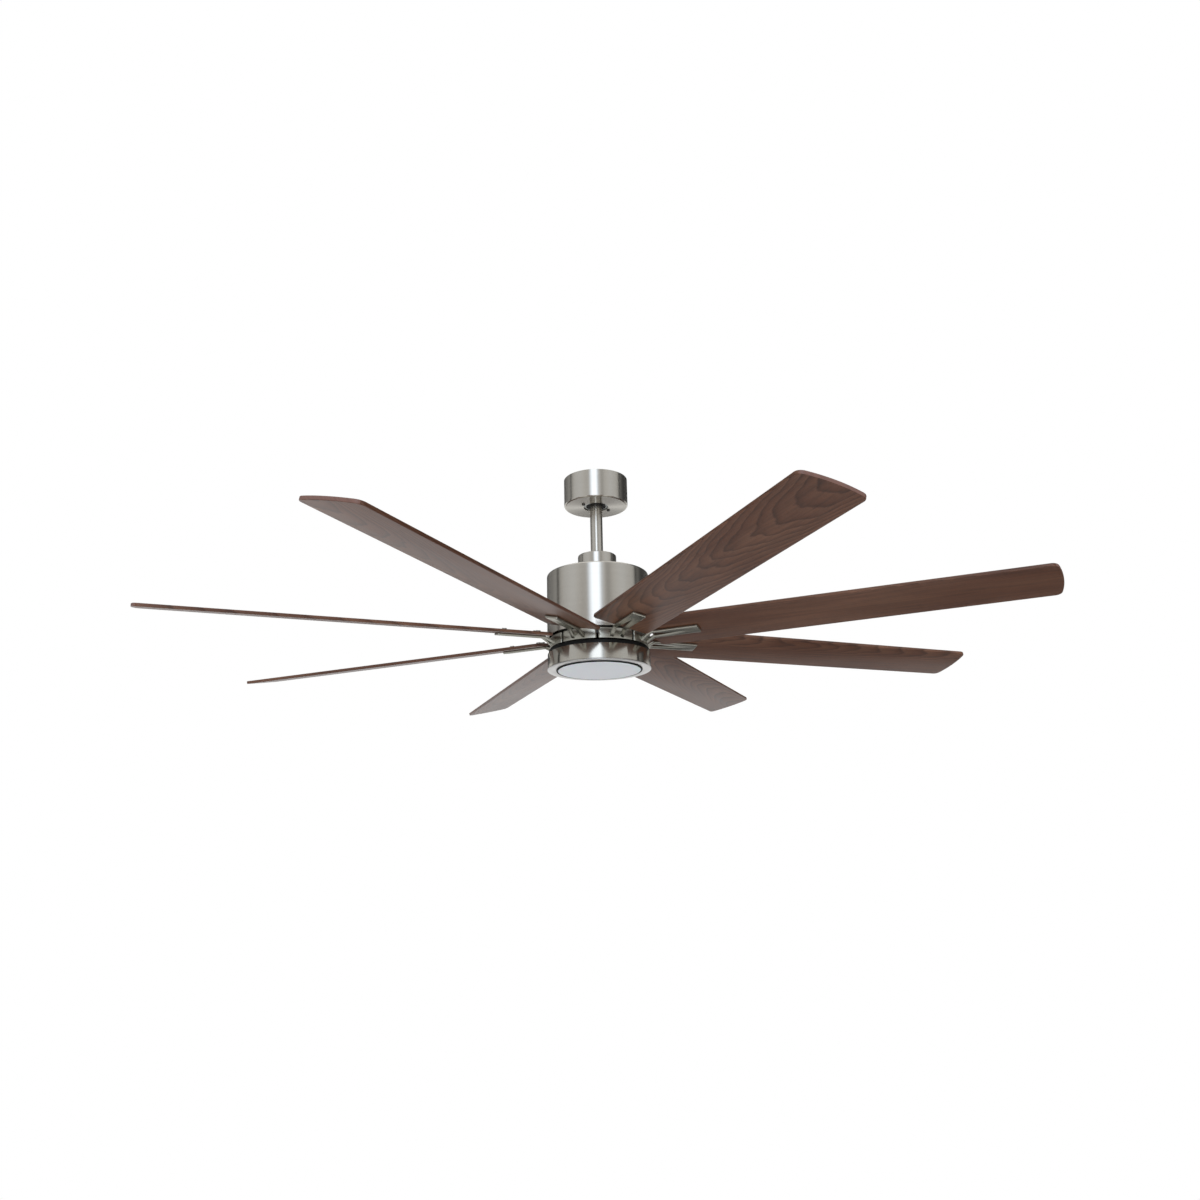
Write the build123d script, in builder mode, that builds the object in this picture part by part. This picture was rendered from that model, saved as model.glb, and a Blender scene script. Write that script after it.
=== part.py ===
from build123d import *
import os
from math import cos, radians, sin, sqrt

# Eight-blade ceiling fan with a round LED light, hung from a hanger bracket on a short downrod.
#
# Millimetres, +Z up. The origin is on the ceiling, on the downrod's axis, so every piece lies below z = 0.
# The pieces form three groups that move against each other:
#   - on the ceiling: bracket, canopy, receiver and their small parts, which stay still;
#   - on the downrod: ball, rod, coupling, motor housing, stator, shaft and light, which swing on the ball;
#   - on the bearings: rotor shells, magnets, flywheel, blade arms and blades, which spin about Z.
# Heights are worked out from the ceiling downwards, so a change to one size moves all that hangs below it.

# ---------------------------------------------------------------- driving dimensions

# Blades and their arms
SPAN = 1828.8  # tip to tip, a 72 inch fan
BLADE_COUNT = 8
BLADE_PITCH = 13.0  # degrees that a blade is turned about its own length
BLADE_ROOT_GAP = 11.0  # housing to the blade's inner end
BLADE_ROOT_WIDTH = 122.0
BLADE_TIP_WIDTH = 114.0
BLADE_TIP_BULGE = 7.5  # how far the curved tip stands out past its corners
BLADE_CORNER = 10.0
BLADE_THICKNESS = 6.5
BLADE_EDGE = 1.2  # rounding of the blade's long edges
TONGUE_SETBACK = 4.0  # blade's inner end to the start of the flat tongue under it
TONGUE_LENGTH = 101.0
TONGUE_WIDTH = 29.0
TONGUE_THICKNESS = 5.5
TONGUE_CORNER = 3.0
TONGUE_BEVEL = 1.4
WINDOW_WIDTH = 12.0  # the wedge-shaped gap between an arm's two prongs, at its wide end
WINDOW_LENGTH = 64.0
PRONG_WIDTH = 8.5
PRONG_ROOT = 9.0
PRONG_INSET = 3.5  # how far inside the foot a prong starts
PRONG_SPREAD = 11.0
PRONG_DROP = 4.6  # the flywheel's underside to the middle of a prong's root
PRONG_BITE = 3.0  # how far a prong runs into the tongue
PRONG_SHY = 0.2
FOOT_LENGTH = 40.0
FOOT_OVERHANG = 4.0  # how far a foot stands out past the flywheel
FOOT_ANGLE = 43.0  # degrees of the ring that one foot takes up
FOOT_HEIGHT = 10.5  # below the flywheel
FOOT_PLATE = 4.5
FOOT_CORNER = 3.0
FOOT_CLEARANCE = 0.2  # the flywheel's rim to the wall that a foot stands round it
BLADE_RISE = 21.2  # the feet's undersides to the middle of the blades' undersides

# Screws, given as shank radius, head radius and head height
BLADE_SCREW = (2.4, 4.8, 2.6)
ARM_SCREW = (2.4, 4.4, 3.0)
SMALL_SCREW = (1.9, 3.6, 2.2)
HEAD_EDGE = 0.8  # rounding of a screw head's rim
BLADE_SCREW_INSET = (14.0, 17.0)  # screws to the near and the far end of the tongue
BLADE_WASHER_RADIUS = 7.0
BLADE_WASHER = 1.2
BLADE_SCREW_DEPTH = 4.0  # how far a blade screw bites into the tongue
ARM_SCREW_RADIUS = 84.0
ARM_SCREW_BITE = 8.0
ARM_SCREW_ANGLE = 9.0  # degrees each side of the arm's middle
SCREW_CLEARANCE = 0.15  # between a shank and its hole
HEXAGON = 6  # sides of a nut, a standoff and a set screw's socket

# Canopy and hanger bracket
CANOPY_RADIUS = 69.5
CANOPY_HEIGHT = 62.0
CANOPY_WALL = 1.2
CANOPY_EDGE = 4.0
CANOPY_HOLE_RADIUS = 27.0
CANOPY_SCREW_RADIUS = 33.0
CANOPY_SCREW_ANGLE = 14.0
BRACKET_LENGTH = 112.0
BRACKET_WIDTH = 40.0
BRACKET_PLATE = 2.5
BRACKET_CORNER = 4.0
SOCKET_PLATE_WIDTH = 56.0
MOUTH_CLEARANCE = 1.5  # each side of the rod, in the slot that lets it in
BRACKET_TO_CANOPY = 0.5
CEILING_SLOT_SPACING = 89.0  # the screw spacing of an 89 mm (3.5 inch) ceiling box
CEILING_SLOT_LENGTH = 14.0
CEILING_SLOT_WIDTH = 5.2
RECEIVER_SIZE = (62.0, 36.0, 20.0)
RECEIVER_CORNER = 3.0
LEAD_RADIUS = 1.1
LEAD_BEND = 9.0
LEAD_COUNT = 3
LEAD_SPACING = 14.0
LEAD_REACH = (24.0, 20.0)  # how far a supply lead runs out of the receiver and then down
CONNECTOR_SIZE = (5.0, 3.4, 17.0)  # wire connector: mouth radius, tip radius, length
CONNECTOR_WALL = 1.2

# Ball and downrod
BALL_RADIUS = 31.0
SOCKET_RADIUS = 24.0  # where the ball rests in the bracket
BALL_CLEARANCE = 0.05  # the ball runs in its seat
BALL_ABOVE = 6.0  # the flat top of the ball, above its centre
BALL_BELOW = 21.8
KEY_WIDTH = 4.0  # the bracket's key, which stops the ball turning
KEY_REACH = 23.6
KEY_HEIGHT = 5.8
KEY_CLEARANCE = 0.6
DOWNROD_RADIUS = 13.35  # 26.7 mm pipe
DOWNROD_WALL = 2.3
DOWNROD_LENGTH = 170.0
DOWNROD_ABOVE = 9.0  # rod end above the ball's centre
ROD_CLEARANCE = 0.1
PIN_CLEARANCE = 0.05
CROSS_PIN_RADIUS = 3.0
CROSS_PIN_LENGTH = 48.0
CROSS_PIN_Z = 1.0  # above the ball's centre
SET_SCREW_RADIUS = 3.0
SET_SCREW_RISE = 5.0
BALL_SET_SCREW_DROP = 9.0
BALL_SET_SCREW_LENGTH = 12.0

# Coupling and its cover
COUPLING_RADIUS = 19.0
COUPLING_HEIGHT = 42.0
COUPLING_GRIP = 21.0  # length of rod inside the coupling
COUPLING_FLANGE_RADIUS = 36.0
COUPLING_FLANGE = 5.0
CLEVIS_PIN_RADIUS = 3.0
CLEVIS_PIN_DROP = 9.0
CLEVIS_PIN_PROUD = 6.0
CLEVIS_HEAD = (4.6, 2.0)
HAIRPIN_WIRE = 0.9
HAIRPIN_LEG = 6.0
HAIRPIN_LOOP = 5.0
COUPLING_SET_SCREW_LENGTH = 6.5
COUPLING_SCREW_RADIUS = 29.0
COUPLING_SCREW_COUNT = 4
COVER_RADIUS = 41.4
COVER_WALL = 1.2
COVER_ABOVE = 2.5  # cover's top above the coupling's
COVER_EDGE = 3.0
COVER_ROD_GAP = 0.8

# Motor housing
HOUSING_RADIUS = 109.0
HOUSING_HEIGHT = 137.0
HOUSING_WALL = 1.4
HOUSING_EDGE = 5.0
HOUSING_LIP = 3.5
HOUSING_TO_FLYWHEEL = 3.2

# Motor
SHAFT_RADIUS = 7.5
SHAFT_BORE = 4.4
SHAFT_SHOULDER = 2.0  # how far the shoulder between the bearings stands out
SHAFT_STEP = 1.0  # how much thinner the threaded end is
SHAFT_IN_COUPLING = 16.0
SHAFT_CLEARANCE = 0.1
SHAFT_BELOW_NUT = 3.0
ROTOR_RADIUS = 84.0
ROTOR_HEIGHT = 64.0
ROTOR_WALL = 3.0
ROTOR_FLANGE = 8.0
ROTOR_FLANGE_THICKNESS = 3.0
ROTOR_SCREW_COUNT = 6
CONTROLLER_SIZE = (80.0, 44.0, 24.0)
CONTROLLER_OFFSET = 58.0
CONTROLLER_TAB = 10.0
CONTROLLER_FLANGE = 2.0
CONTROLLER_EDGE = 3.0
BEARING_RADIUS = 17.5
BEARING_WIDTH = 11.0
RACE_THICKNESS = 3.5
BALL_BEARING_RADIUS = 2.9
BALL_BEARING_COUNT = 8
BEARING_PLAY = 0.1
BEARING_BOSS = 3.5
BEARING_LIP = 1.0
RACE_LIP = 2.0  # gap between the inner race and the case around it
MAGNET_THICKNESS = 4.4
MAGNET_HEIGHT = 30.0
MAGNET_COUNT = 16
MAGNET_SPACING = 1.5  # degrees between neighbouring magnets
AIR_GAP = 0.8
STATOR_HEIGHT = 26.0
STATOR_HUB_RADIUS = 30.0
TOOTH_COUNT = 12
TOOTH_WIDTH = 8.0
TOOTH_SHOE = 5.5
SHOE_ANGLE = 24.0
COIL_WIDTH = 15.0
COIL_HEIGHT = 33.0
COIL_INNER = 38.0
COIL_CORNER = 3.0
COIL_CLEARANCE = 0.3

# Flywheel, which carries the blade arms
FLYWHEEL_RADIUS = 100.0
FLYWHEEL_HEIGHT = 11.6
FLYWHEEL_POCKET = (66.0, 76.0, 7.0)  # inner and outer radius and depth of the lightening groove
FLYWHEEL_BOSS_RADIUS = 62.0
FLYWHEEL_BOSS_HEIGHT = 8.4
FLYWHEEL_HOLE = 40.0
FLYWHEEL_SCREW_RADIUS = 50.0
FLYWHEEL_SCREW_COUNT = 4

# Light
FLYWHEEL_TO_LIGHT = 3.0  # feet's undersides to the adapter
ADAPTER_RADIUS = 106.0
ADAPTER_HEIGHT = 7.6
ADAPTER_WALL = 2.0
ADAPTER_BOSS_RADIUS = 5.0
LIGHT_SCREW_RADIUS = 70.0
LIGHT_SCREW_COUNT = 3
NUT_FLATS = 20.0
NUT_HEIGHT = 6.0
PAN_RADIUS = 108.4
PAN_HEIGHT = 32.0
PAN_WALL = 1.5
PAN_HOLE_RADIUS = 14.0
TRIM_RADIUS = 109.2
TRIM_THICKNESS = 1.6
TRIM_GROOVE = 0.6  # the shadow line between the pan and the trim ring
TRIM_SPIGOT = (2.4, 6.0)  # thickness and height
TRIM_FIT = 0.05
TRIM_EDGE = 0.5
LENS_RADIUS = 89.5
LENS_GAP = 1.4
LENS_PROUD = 2.2
LENS_WALL = 2.5
LENS_FLANGE = 8.0
LENS_FLANGE_THICKNESS = 2.0
LENS_EDGE = 1.5
TRAY_RADIUS = 96.0
TRAY_THICKNESS = 1.5
TRAY_DROP = 13.0  # pan's top plate to the tray
STANDOFF_FLATS = 7.0
STANDOFF_RADIUS = 86.0
STANDOFF_HOLE = 6.0
LIGHT_SCREW_BITE = 5.0
BOARD_RADIUS = 80.0
BOARD_THICKNESS = 1.6
LED_SIZE = (3.0, 3.0, 0.8)
LED_RINGS = ((24.0, 8), (48.0, 16), (72.0, 24))
DRIVER_SIZE = (66.0, 34.0, 11.0)
DRIVER_OFFSET = 50.0
WIRE_RADIUS = 1.0
WIRE_RING = 2.4
WIRE_COUNT = 3
WIRE_BEND = 5.0
WIRE_OFFSET = 6.7  # the leads pass beside the two pins
PLUG_SIZE = (10.0, 7.0, 9.0)

# ---------------------------------------------------------------- heights, from the ceiling downwards

canopy_bottom = -CANOPY_HEIGHT
socket_bottom = canopy_bottom + CANOPY_WALL + BRACKET_TO_CANOPY
socket_top = socket_bottom + BRACKET_PLATE
ball_z = socket_top + sqrt(BALL_RADIUS**2 - SOCKET_RADIUS**2)
rod_top = ball_z + DOWNROD_ABOVE
rod_bottom = rod_top - DOWNROD_LENGTH
coupling_top = rod_bottom + COUPLING_GRIP
housing_top = coupling_top - COUPLING_HEIGHT
housing_bottom = housing_top - HOUSING_HEIGHT
flywheel_top = housing_bottom - HOUSING_TO_FLYWHEEL
flywheel_bottom = flywheel_top - FLYWHEEL_HEIGHT
foot_bottom = flywheel_bottom - FOOT_HEIGHT
blade_z = foot_bottom + BLADE_RISE
adapter_top = foot_bottom - FLYWHEEL_TO_LIGHT
adapter_bottom = adapter_top - ADAPTER_HEIGHT
pan_bottom = adapter_bottom - PAN_HEIGHT
trim_top = pan_bottom - TRIM_GROOVE
trim_bottom = trim_top - TRIM_THICKNESS
lens_bottom = trim_bottom - LENS_PROUD
rotor_bottom = flywheel_top + FLYWHEEL_BOSS_HEIGHT
rotor_top = rotor_bottom + ROTOR_HEIGHT
rotor_middle = (rotor_top + rotor_bottom) / 2
shaft_top = housing_top + SHAFT_IN_COUPLING
nut_top = adapter_top - ADAPTER_WALL
shaft_bottom = nut_top - NUT_HEIGHT - SHAFT_BELOW_NUT
tray_top = adapter_bottom - PAN_WALL - TRAY_DROP
upper_race = rotor_top - BEARING_LIP - BEARING_WIDTH
lower_race = rotor_bottom + BEARING_LIP + BEARING_WIDTH
magnet_outer = ROTOR_RADIUS - ROTOR_WALL
stator_radius = magnet_outer - MAGNET_THICKNESS - AIR_GAP
clevis_z = coupling_top - CLEVIS_PIN_DROP

shoulder_radius = SHAFT_RADIUS + SHAFT_SHOULDER
thread_radius = SHAFT_RADIUS - SHAFT_STEP
race_lip = SHAFT_RADIUS + RACE_THICKNESS + RACE_LIP
blade_root = HOUSING_RADIUS + BLADE_ROOT_GAP
tongue_start = blade_root + TONGUE_SETBACK
tongue_end = tongue_start + TONGUE_LENGTH
window_end = tongue_start + WINDOW_LENGTH
foot_outer = FLYWHEEL_RADIUS + FOOT_OVERHANG
foot_inner = foot_outer - FOOT_LENGTH
controller_screw_x = (CONTROLLER_SIZE[0] + CONTROLLER_TAB) / 2

blade_turns = [360 / BLADE_COUNT * n for n in range(BLADE_COUNT)]
blade_plane = Plane(
    origin=(0, 0, blade_z),
    x_dir=(1, 0, 0),
    z_dir=(0, sin(radians(BLADE_PITCH)), cos(radians(BLADE_PITCH))),
)
prong_middle = (TONGUE_WIDTH + WINDOW_WIDTH) / 4
blade_screw_places = [
    (tongue_start + BLADE_SCREW_INSET[0], prong_middle),
    (tongue_start + BLADE_SCREW_INSET[0], -prong_middle),
    (tongue_end - BLADE_SCREW_INSET[1], 0),
]

finished = {}  # the pieces by name, written out at the end


# ---------------------------------------------------------------- shapes used more than once


def section(*corners):
    """A closed outline of straight lines in the vertical plane, from (radius, height) corners."""
    with BuildSketch(Plane.XZ) as outline:
        with BuildLine():
            Polyline(*corners, close=True)
        make_face()
    return outline.sketch


def screw(plane, size, length):
    """A pan-head screw: the head stands on the plane, the shank goes down from it by length."""
    shank, head, height = size
    with BuildPart() as made:
        with BuildSketch(plane):
            Circle(head)
        extrude(amount=height)
        rim = made.edges().filter_by(GeomType.CIRCLE).sort_by_distance(plane.origin)[-1]
        fillet(rim, HEAD_EDGE)
        with BuildSketch(plane):
            Circle(shank)
        extrude(amount=-length)
    return made.part


def group(pieces):
    """Separate solids that share one node."""
    return Compound(children=list(pieces))


def around(piece, turns):
    """Copies of a piece turned about the fan's axis."""
    return group(piece.rotate(Axis.Z, turn) for turn in turns)


def even_turns(count, first=0.0):
    return [first + 360 / count * n for n in range(count)]


def facing_down(x, y, z):
    """A plane at that point whose normal points down, for a screw driven from below."""
    return Plane(origin=(x, y, z), x_dir=(1, 0, 0), z_dir=(0, 0, -1))


# ---------------------------------------------------------------- on the ceiling

canopy_screw_at = Vector(CANOPY_SCREW_RADIUS, 0).rotate(Axis.Z, CANOPY_SCREW_ANGLE)
leg_height = -BRACKET_PLATE - socket_top

with BuildPart() as hanger_bracket:
    with BuildSketch(Plane.XY.offset(-BRACKET_PLATE)):
        RectangleRounded(BRACKET_LENGTH, BRACKET_WIDTH, BRACKET_CORNER)
        with GridLocations(CEILING_SLOT_SPACING, 0, 2, 1):
            SlotOverall(CEILING_SLOT_LENGTH, CEILING_SLOT_WIDTH, mode=Mode.SUBTRACT)
    extrude(amount=BRACKET_PLATE)
    with BuildSketch(Plane.XY.offset(socket_bottom)):
        RectangleRounded(BRACKET_LENGTH, SOCKET_PLATE_WIDTH, BRACKET_CORNER)
        with PolarLocations(CANOPY_SCREW_RADIUS, 2, start_angle=CANOPY_SCREW_ANGLE):
            Circle(SMALL_SCREW[0] + SCREW_CLEARANCE, mode=Mode.SUBTRACT)
    extrude(amount=BRACKET_PLATE)
    leg_span = BRACKET_LENGTH - BRACKET_PLATE
    with Locations((0, 0, socket_top)), GridLocations(leg_span, 0, 2, 1):
        Box(BRACKET_PLATE, BRACKET_WIDTH - 2 * BRACKET_CORNER, leg_height,
            align=(Align.CENTER, Align.CENTER, Align.MIN))
    # The ball drops in from one side: the rod passes the mouth, the ball doesn't.
    mouth = 2 * (DOWNROD_RADIUS + MOUTH_CLEARANCE)
    with Locations((0, 0, socket_bottom)):
        Box(mouth, SOCKET_PLATE_WIDTH, BRACKET_PLATE,
            align=(Align.CENTER, Align.MAX, Align.MIN), mode=Mode.SUBTRACT)
    with Locations((0, 0, ball_z)):
        Sphere(BALL_RADIUS + BALL_CLEARANCE, mode=Mode.SUBTRACT)
    # The key reaches into the ball's groove, inside the sphere that was just cleared.
    key_length = SOCKET_PLATE_WIDTH / 2 - KEY_REACH
    with Locations((0, KEY_REACH, socket_top)):
        Box(KEY_WIDTH, key_length, KEY_HEIGHT, align=(Align.CENTER, Align.MIN, Align.MIN))
finished["hanger_bracket"] = hanger_bracket.part

with BuildPart() as canopy:
    revolve(
        section(
            (CANOPY_HOLE_RADIUS, canopy_bottom),
            (CANOPY_RADIUS, canopy_bottom),
            (CANOPY_RADIUS, 0),
            (CANOPY_RADIUS - CANOPY_WALL, 0),
            (CANOPY_RADIUS - CANOPY_WALL, canopy_bottom + CANOPY_WALL),
            (CANOPY_HOLE_RADIUS, canopy_bottom + CANOPY_WALL),
        ),
        axis=Axis.Z,
    )
    rims = canopy.edges().filter_by(GeomType.CIRCLE).group_by(SortBy.RADIUS)
    outer_rim = rims[-1].sort_by(Axis.Z)[0]
    inner_rim = rims[-2].sort_by(Axis.Z)[0]
    fillet(outer_rim, CANOPY_EDGE)
    fillet(inner_rim, CANOPY_EDGE - CANOPY_WALL)
    with BuildSketch(Plane.XY.offset(canopy_bottom)):
        with PolarLocations(CANOPY_SCREW_RADIUS, 2, start_angle=CANOPY_SCREW_ANGLE):
            Circle(SMALL_SCREW[0] + 2 * SCREW_CLEARANCE)
    extrude(amount=CANOPY_WALL, mode=Mode.SUBTRACT)
finished["canopy"] = canopy.part

canopy_screw = screw(
    facing_down(canopy_screw_at.X, canopy_screw_at.Y, canopy_bottom), SMALL_SCREW, socket_top - canopy_bottom
)
finished["canopy_screws"] = around(canopy_screw, (0, 180))

receiver_bottom = -BRACKET_PLATE - RECEIVER_SIZE[2]
with BuildPart() as remote_receiver:
    with BuildSketch(Plane.XY.offset(receiver_bottom)):
        RectangleRounded(RECEIVER_SIZE[0], RECEIVER_SIZE[1], RECEIVER_CORNER)
    extrude(amount=RECEIVER_SIZE[2])
    fillet(remote_receiver.faces().sort_by(Axis.Z)[0].edges(), RECEIVER_CORNER / 2)
finished["remote_receiver"] = remote_receiver.part

lead_z = -BRACKET_PLATE - RECEIVER_SIZE[2] / 2
lead_out, lead_down = LEAD_REACH
connector_y = RECEIVER_SIZE[1] / 2 + lead_out
mouth_radius, tip_radius, connector_length = CONNECTOR_SIZE
lead_end = lead_z - lead_down
leads = []
connectors = []
for n in range(LEAD_COUNT):
    lead_x = (n - (LEAD_COUNT - 1) / 2) * LEAD_SPACING
    with BuildPart() as supply_lead:
        with BuildLine() as route:
            FilletPolyline(
                (lead_x, RECEIVER_SIZE[1] / 2, lead_z),
                (lead_x, connector_y, lead_z),
                (lead_x, connector_y, lead_end),
                radius=LEAD_BEND,
            )
        with BuildSketch(Plane(origin=route.line @ 0, z_dir=route.line % 0)):
            Circle(LEAD_RADIUS)
        sweep()
    leads.append(supply_lead.part)
    with BuildPart() as wire_connector:
        with BuildSketch(Plane.XY.offset(lead_end + connector_length / 3)):
            Circle(mouth_radius)
        with BuildSketch(Plane.XY.offset(lead_end - 2 * connector_length / 3)):
            Circle(tip_radius)
        loft()
        with BuildSketch(Plane.XY.offset(lead_end)):
            Circle(mouth_radius - CONNECTOR_WALL)
        extrude(amount=connector_length / 3, mode=Mode.SUBTRACT)
    connectors.append(wire_connector.part.translate((lead_x, connector_y, 0)))
finished["supply_leads"] = group(leads)
finished["wire_connectors"] = group(connectors)


# ---------------------------------------------------------------- ball and downrod

groove_floor = sqrt(KEY_REACH**2 + (ball_z - socket_top - KEY_HEIGHT) ** 2) - KEY_CLEARANCE
cross_pin_z = ball_z + CROSS_PIN_Z

with BuildPart() as hanger_ball:
    with BuildSketch(Plane.XZ):
        with Locations((0, ball_z)):
            Circle(BALL_RADIUS)
        with Locations((DOWNROD_RADIUS + ROD_CLEARANCE, ball_z - BALL_BELOW)):
            Rectangle(BALL_RADIUS, BALL_BELOW + BALL_ABOVE,
                      align=(Align.MIN, Align.MIN), mode=Mode.INTERSECT)
    revolve(axis=Axis.Z)
    # A groove down one side takes the bracket's key. It is round about the ball's centre,
    # so the ball can tilt.
    past_ball = 2 * BALL_RADIUS
    with BuildSketch(Plane.YZ):
        with Locations((0, ball_z)):
            Circle(past_ball)
            Circle(groove_floor, mode=Mode.SUBTRACT)
            Rectangle(past_ball, 2 * past_ball, align=(Align.MAX, Align.CENTER), mode=Mode.SUBTRACT)
    extrude(amount=KEY_WIDTH / 2 + KEY_CLEARANCE, both=True, mode=Mode.SUBTRACT)
    # The cross pin drops in from above.
    slot_width = 2 * (CROSS_PIN_RADIUS + PIN_CLEARANCE)
    slot_length = CROSS_PIN_LENGTH + 2 * PIN_CLEARANCE
    with BuildSketch(Plane.YZ):
        with Locations((0, cross_pin_z)):
            Circle(slot_width / 2)
            Rectangle(slot_width, BALL_ABOVE, align=(Align.CENTER, Align.MIN))
    extrude(amount=slot_length / 2, both=True, mode=Mode.SUBTRACT)
    with BuildSketch(Plane.YZ):
        with Locations((0, ball_z - BALL_SET_SCREW_DROP)):
            Circle(SET_SCREW_RADIUS + PIN_CLEARANCE)
    extrude(amount=BALL_RADIUS, mode=Mode.SUBTRACT)
finished["hanger_ball"] = hanger_ball.part

with BuildPart() as ball_cross_pin:
    with BuildSketch(Plane.YZ):
        with Locations((0, cross_pin_z)):
            Circle(CROSS_PIN_RADIUS)
    extrude(amount=CROSS_PIN_LENGTH / 2, both=True)
    chamfer(ball_cross_pin.edges().filter_by(GeomType.CIRCLE), HEAD_EDGE)
finished["ball_cross_pin"] = ball_cross_pin.part

with BuildPart() as downrod:
    with BuildSketch(Plane.XY.offset(rod_bottom)):
        Circle(DOWNROD_RADIUS)
        Circle(DOWNROD_RADIUS - DOWNROD_WALL, mode=Mode.SUBTRACT)
    extrude(amount=DOWNROD_LENGTH)
    with BuildSketch(Plane.YZ):
        with Locations((0, cross_pin_z)):
            Circle(CROSS_PIN_RADIUS + PIN_CLEARANCE)
        with Locations((0, clevis_z)):
            Circle(CLEVIS_PIN_RADIUS + PIN_CLEARANCE)
    extrude(amount=2 * DOWNROD_RADIUS, both=True, mode=Mode.SUBTRACT)
finished["downrod"] = downrod.part

# ---------------------------------------------------------------- coupling and cover

rod_set_screw_z = rod_bottom + SET_SCREW_RISE
shaft_set_screw_z = housing_top + COUPLING_FLANGE + SET_SCREW_RISE
half_step = 180 / COUPLING_SCREW_COUNT
coupling_screw_turns = even_turns(COUPLING_SCREW_COUNT, half_step)

with BuildPart() as coupling:
    with BuildSketch(Plane.XY.offset(housing_top)):
        Circle(COUPLING_FLANGE_RADIUS)
    extrude(amount=COUPLING_FLANGE)
    with BuildSketch(Plane.XY.offset(housing_top)):
        Circle(COUPLING_RADIUS)
    extrude(amount=COUPLING_HEIGHT)
    with BuildSketch(Plane.XY.offset(coupling_top)):
        Circle(DOWNROD_RADIUS + ROD_CLEARANCE)
    extrude(amount=-COUPLING_GRIP, mode=Mode.SUBTRACT)
    with BuildSketch(Plane.XY.offset(shaft_top)):
        Circle(DOWNROD_RADIUS - DOWNROD_WALL)
    extrude(amount=rod_bottom - shaft_top, mode=Mode.SUBTRACT)
    with BuildSketch(Plane.XY.offset(housing_top)):
        Circle(SHAFT_RADIUS + SHAFT_CLEARANCE)
        with PolarLocations(COUPLING_SCREW_RADIUS, COUPLING_SCREW_COUNT, start_angle=half_step):
            Circle(ARM_SCREW[0] + SCREW_CLEARANCE)
    extrude(amount=shaft_top - housing_top, mode=Mode.SUBTRACT)
    with BuildSketch(Plane.YZ):
        with Locations((0, clevis_z)):
            Circle(CLEVIS_PIN_RADIUS + PIN_CLEARANCE)
    extrude(amount=COUPLING_RADIUS, both=True, mode=Mode.SUBTRACT)
    with BuildSketch(Plane.XZ):
        with Locations((0, rod_set_screw_z)):
            Circle(SET_SCREW_RADIUS + PIN_CLEARANCE)
    extrude(amount=COUPLING_RADIUS, both=True, mode=Mode.SUBTRACT)
    with BuildSketch(Plane.XZ):
        with Locations((0, shaft_set_screw_z)):
            Circle(SET_SCREW_RADIUS + PIN_CLEARANCE)
    extrude(amount=COUPLING_RADIUS, mode=Mode.SUBTRACT)
finished["coupling"] = coupling.part

pin_start = -COUPLING_RADIUS
pin_end = COUPLING_RADIUS + CLEVIS_PIN_PROUD
hairpin_x = COUPLING_RADIUS + CLEVIS_PIN_PROUD / 2
hairpin_hole = HAIRPIN_WIRE + PIN_CLEARANCE
head_radius, head_height = CLEVIS_HEAD

with BuildPart() as clevis_pin:
    with BuildSketch(Plane.YZ.offset(pin_start)):
        with Locations((0, clevis_z)):
            Circle(CLEVIS_PIN_RADIUS)
    extrude(amount=pin_end - pin_start)
    with BuildSketch(Plane.YZ.offset(pin_start)):
        with Locations((0, clevis_z)):
            Circle(head_radius)
    extrude(amount=-head_height)
    with BuildSketch(Plane.XY.offset(clevis_z)):
        with Locations((hairpin_x, 0)):
            Circle(hairpin_hole)
    extrude(amount=CLEVIS_PIN_RADIUS, both=True, mode=Mode.SUBTRACT)
finished["clevis_pin"] = clevis_pin.part

with BuildPart() as hairpin:
    with BuildLine() as bent_wire:
        inner_leg = Line((hairpin_x, 0, clevis_z - HAIRPIN_LEG), (hairpin_x, 0, clevis_z + HAIRPIN_LEG))
        bend = ThreePointArc(
            inner_leg @ 1,
            (hairpin_x, HAIRPIN_LOOP / 2, clevis_z + HAIRPIN_LEG + HAIRPIN_LOOP / 2),
            (hairpin_x, HAIRPIN_LOOP, clevis_z + HAIRPIN_LEG),
        )
        Line(bend @ 1, (hairpin_x, HAIRPIN_LOOP, clevis_z - HAIRPIN_LEG / 2))
    with BuildSketch(Plane(origin=inner_leg @ 0, z_dir=(0, 0, 1))):
        Circle(HAIRPIN_WIRE)
    sweep()
finished["hairpin"] = hairpin.part


def set_screw(plane, length):
    """A headless screw along the plane's normal, with a hexagonal socket in its outer end."""
    with BuildPart() as made:
        with BuildSketch(plane):
            Circle(SET_SCREW_RADIUS)
        extrude(amount=length)
        with BuildSketch(plane.offset(length)):
            RegularPolygon(SET_SCREW_RADIUS / 2, HEXAGON)
        extrude(amount=-length / 2, mode=Mode.SUBTRACT)
    return made.part


def from_side(x, y, z):
    """A plane at that point whose normal points straight away from the fan's axis."""
    return Plane(origin=(x, y, z), x_dir=(0, 0, 1), z_dir=(x, y, 0))


finished["set_screws"] = group(
    [
        set_screw(from_side(DOWNROD_RADIUS, 0, ball_z - BALL_SET_SCREW_DROP), BALL_SET_SCREW_LENGTH),
        set_screw(from_side(0, DOWNROD_RADIUS, rod_set_screw_z), COUPLING_SET_SCREW_LENGTH),
        set_screw(from_side(0, -DOWNROD_RADIUS, rod_set_screw_z), COUPLING_SET_SCREW_LENGTH),
        set_screw(from_side(0, -SHAFT_RADIUS, shaft_set_screw_z), BALL_SET_SCREW_LENGTH),
    ]
)

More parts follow.
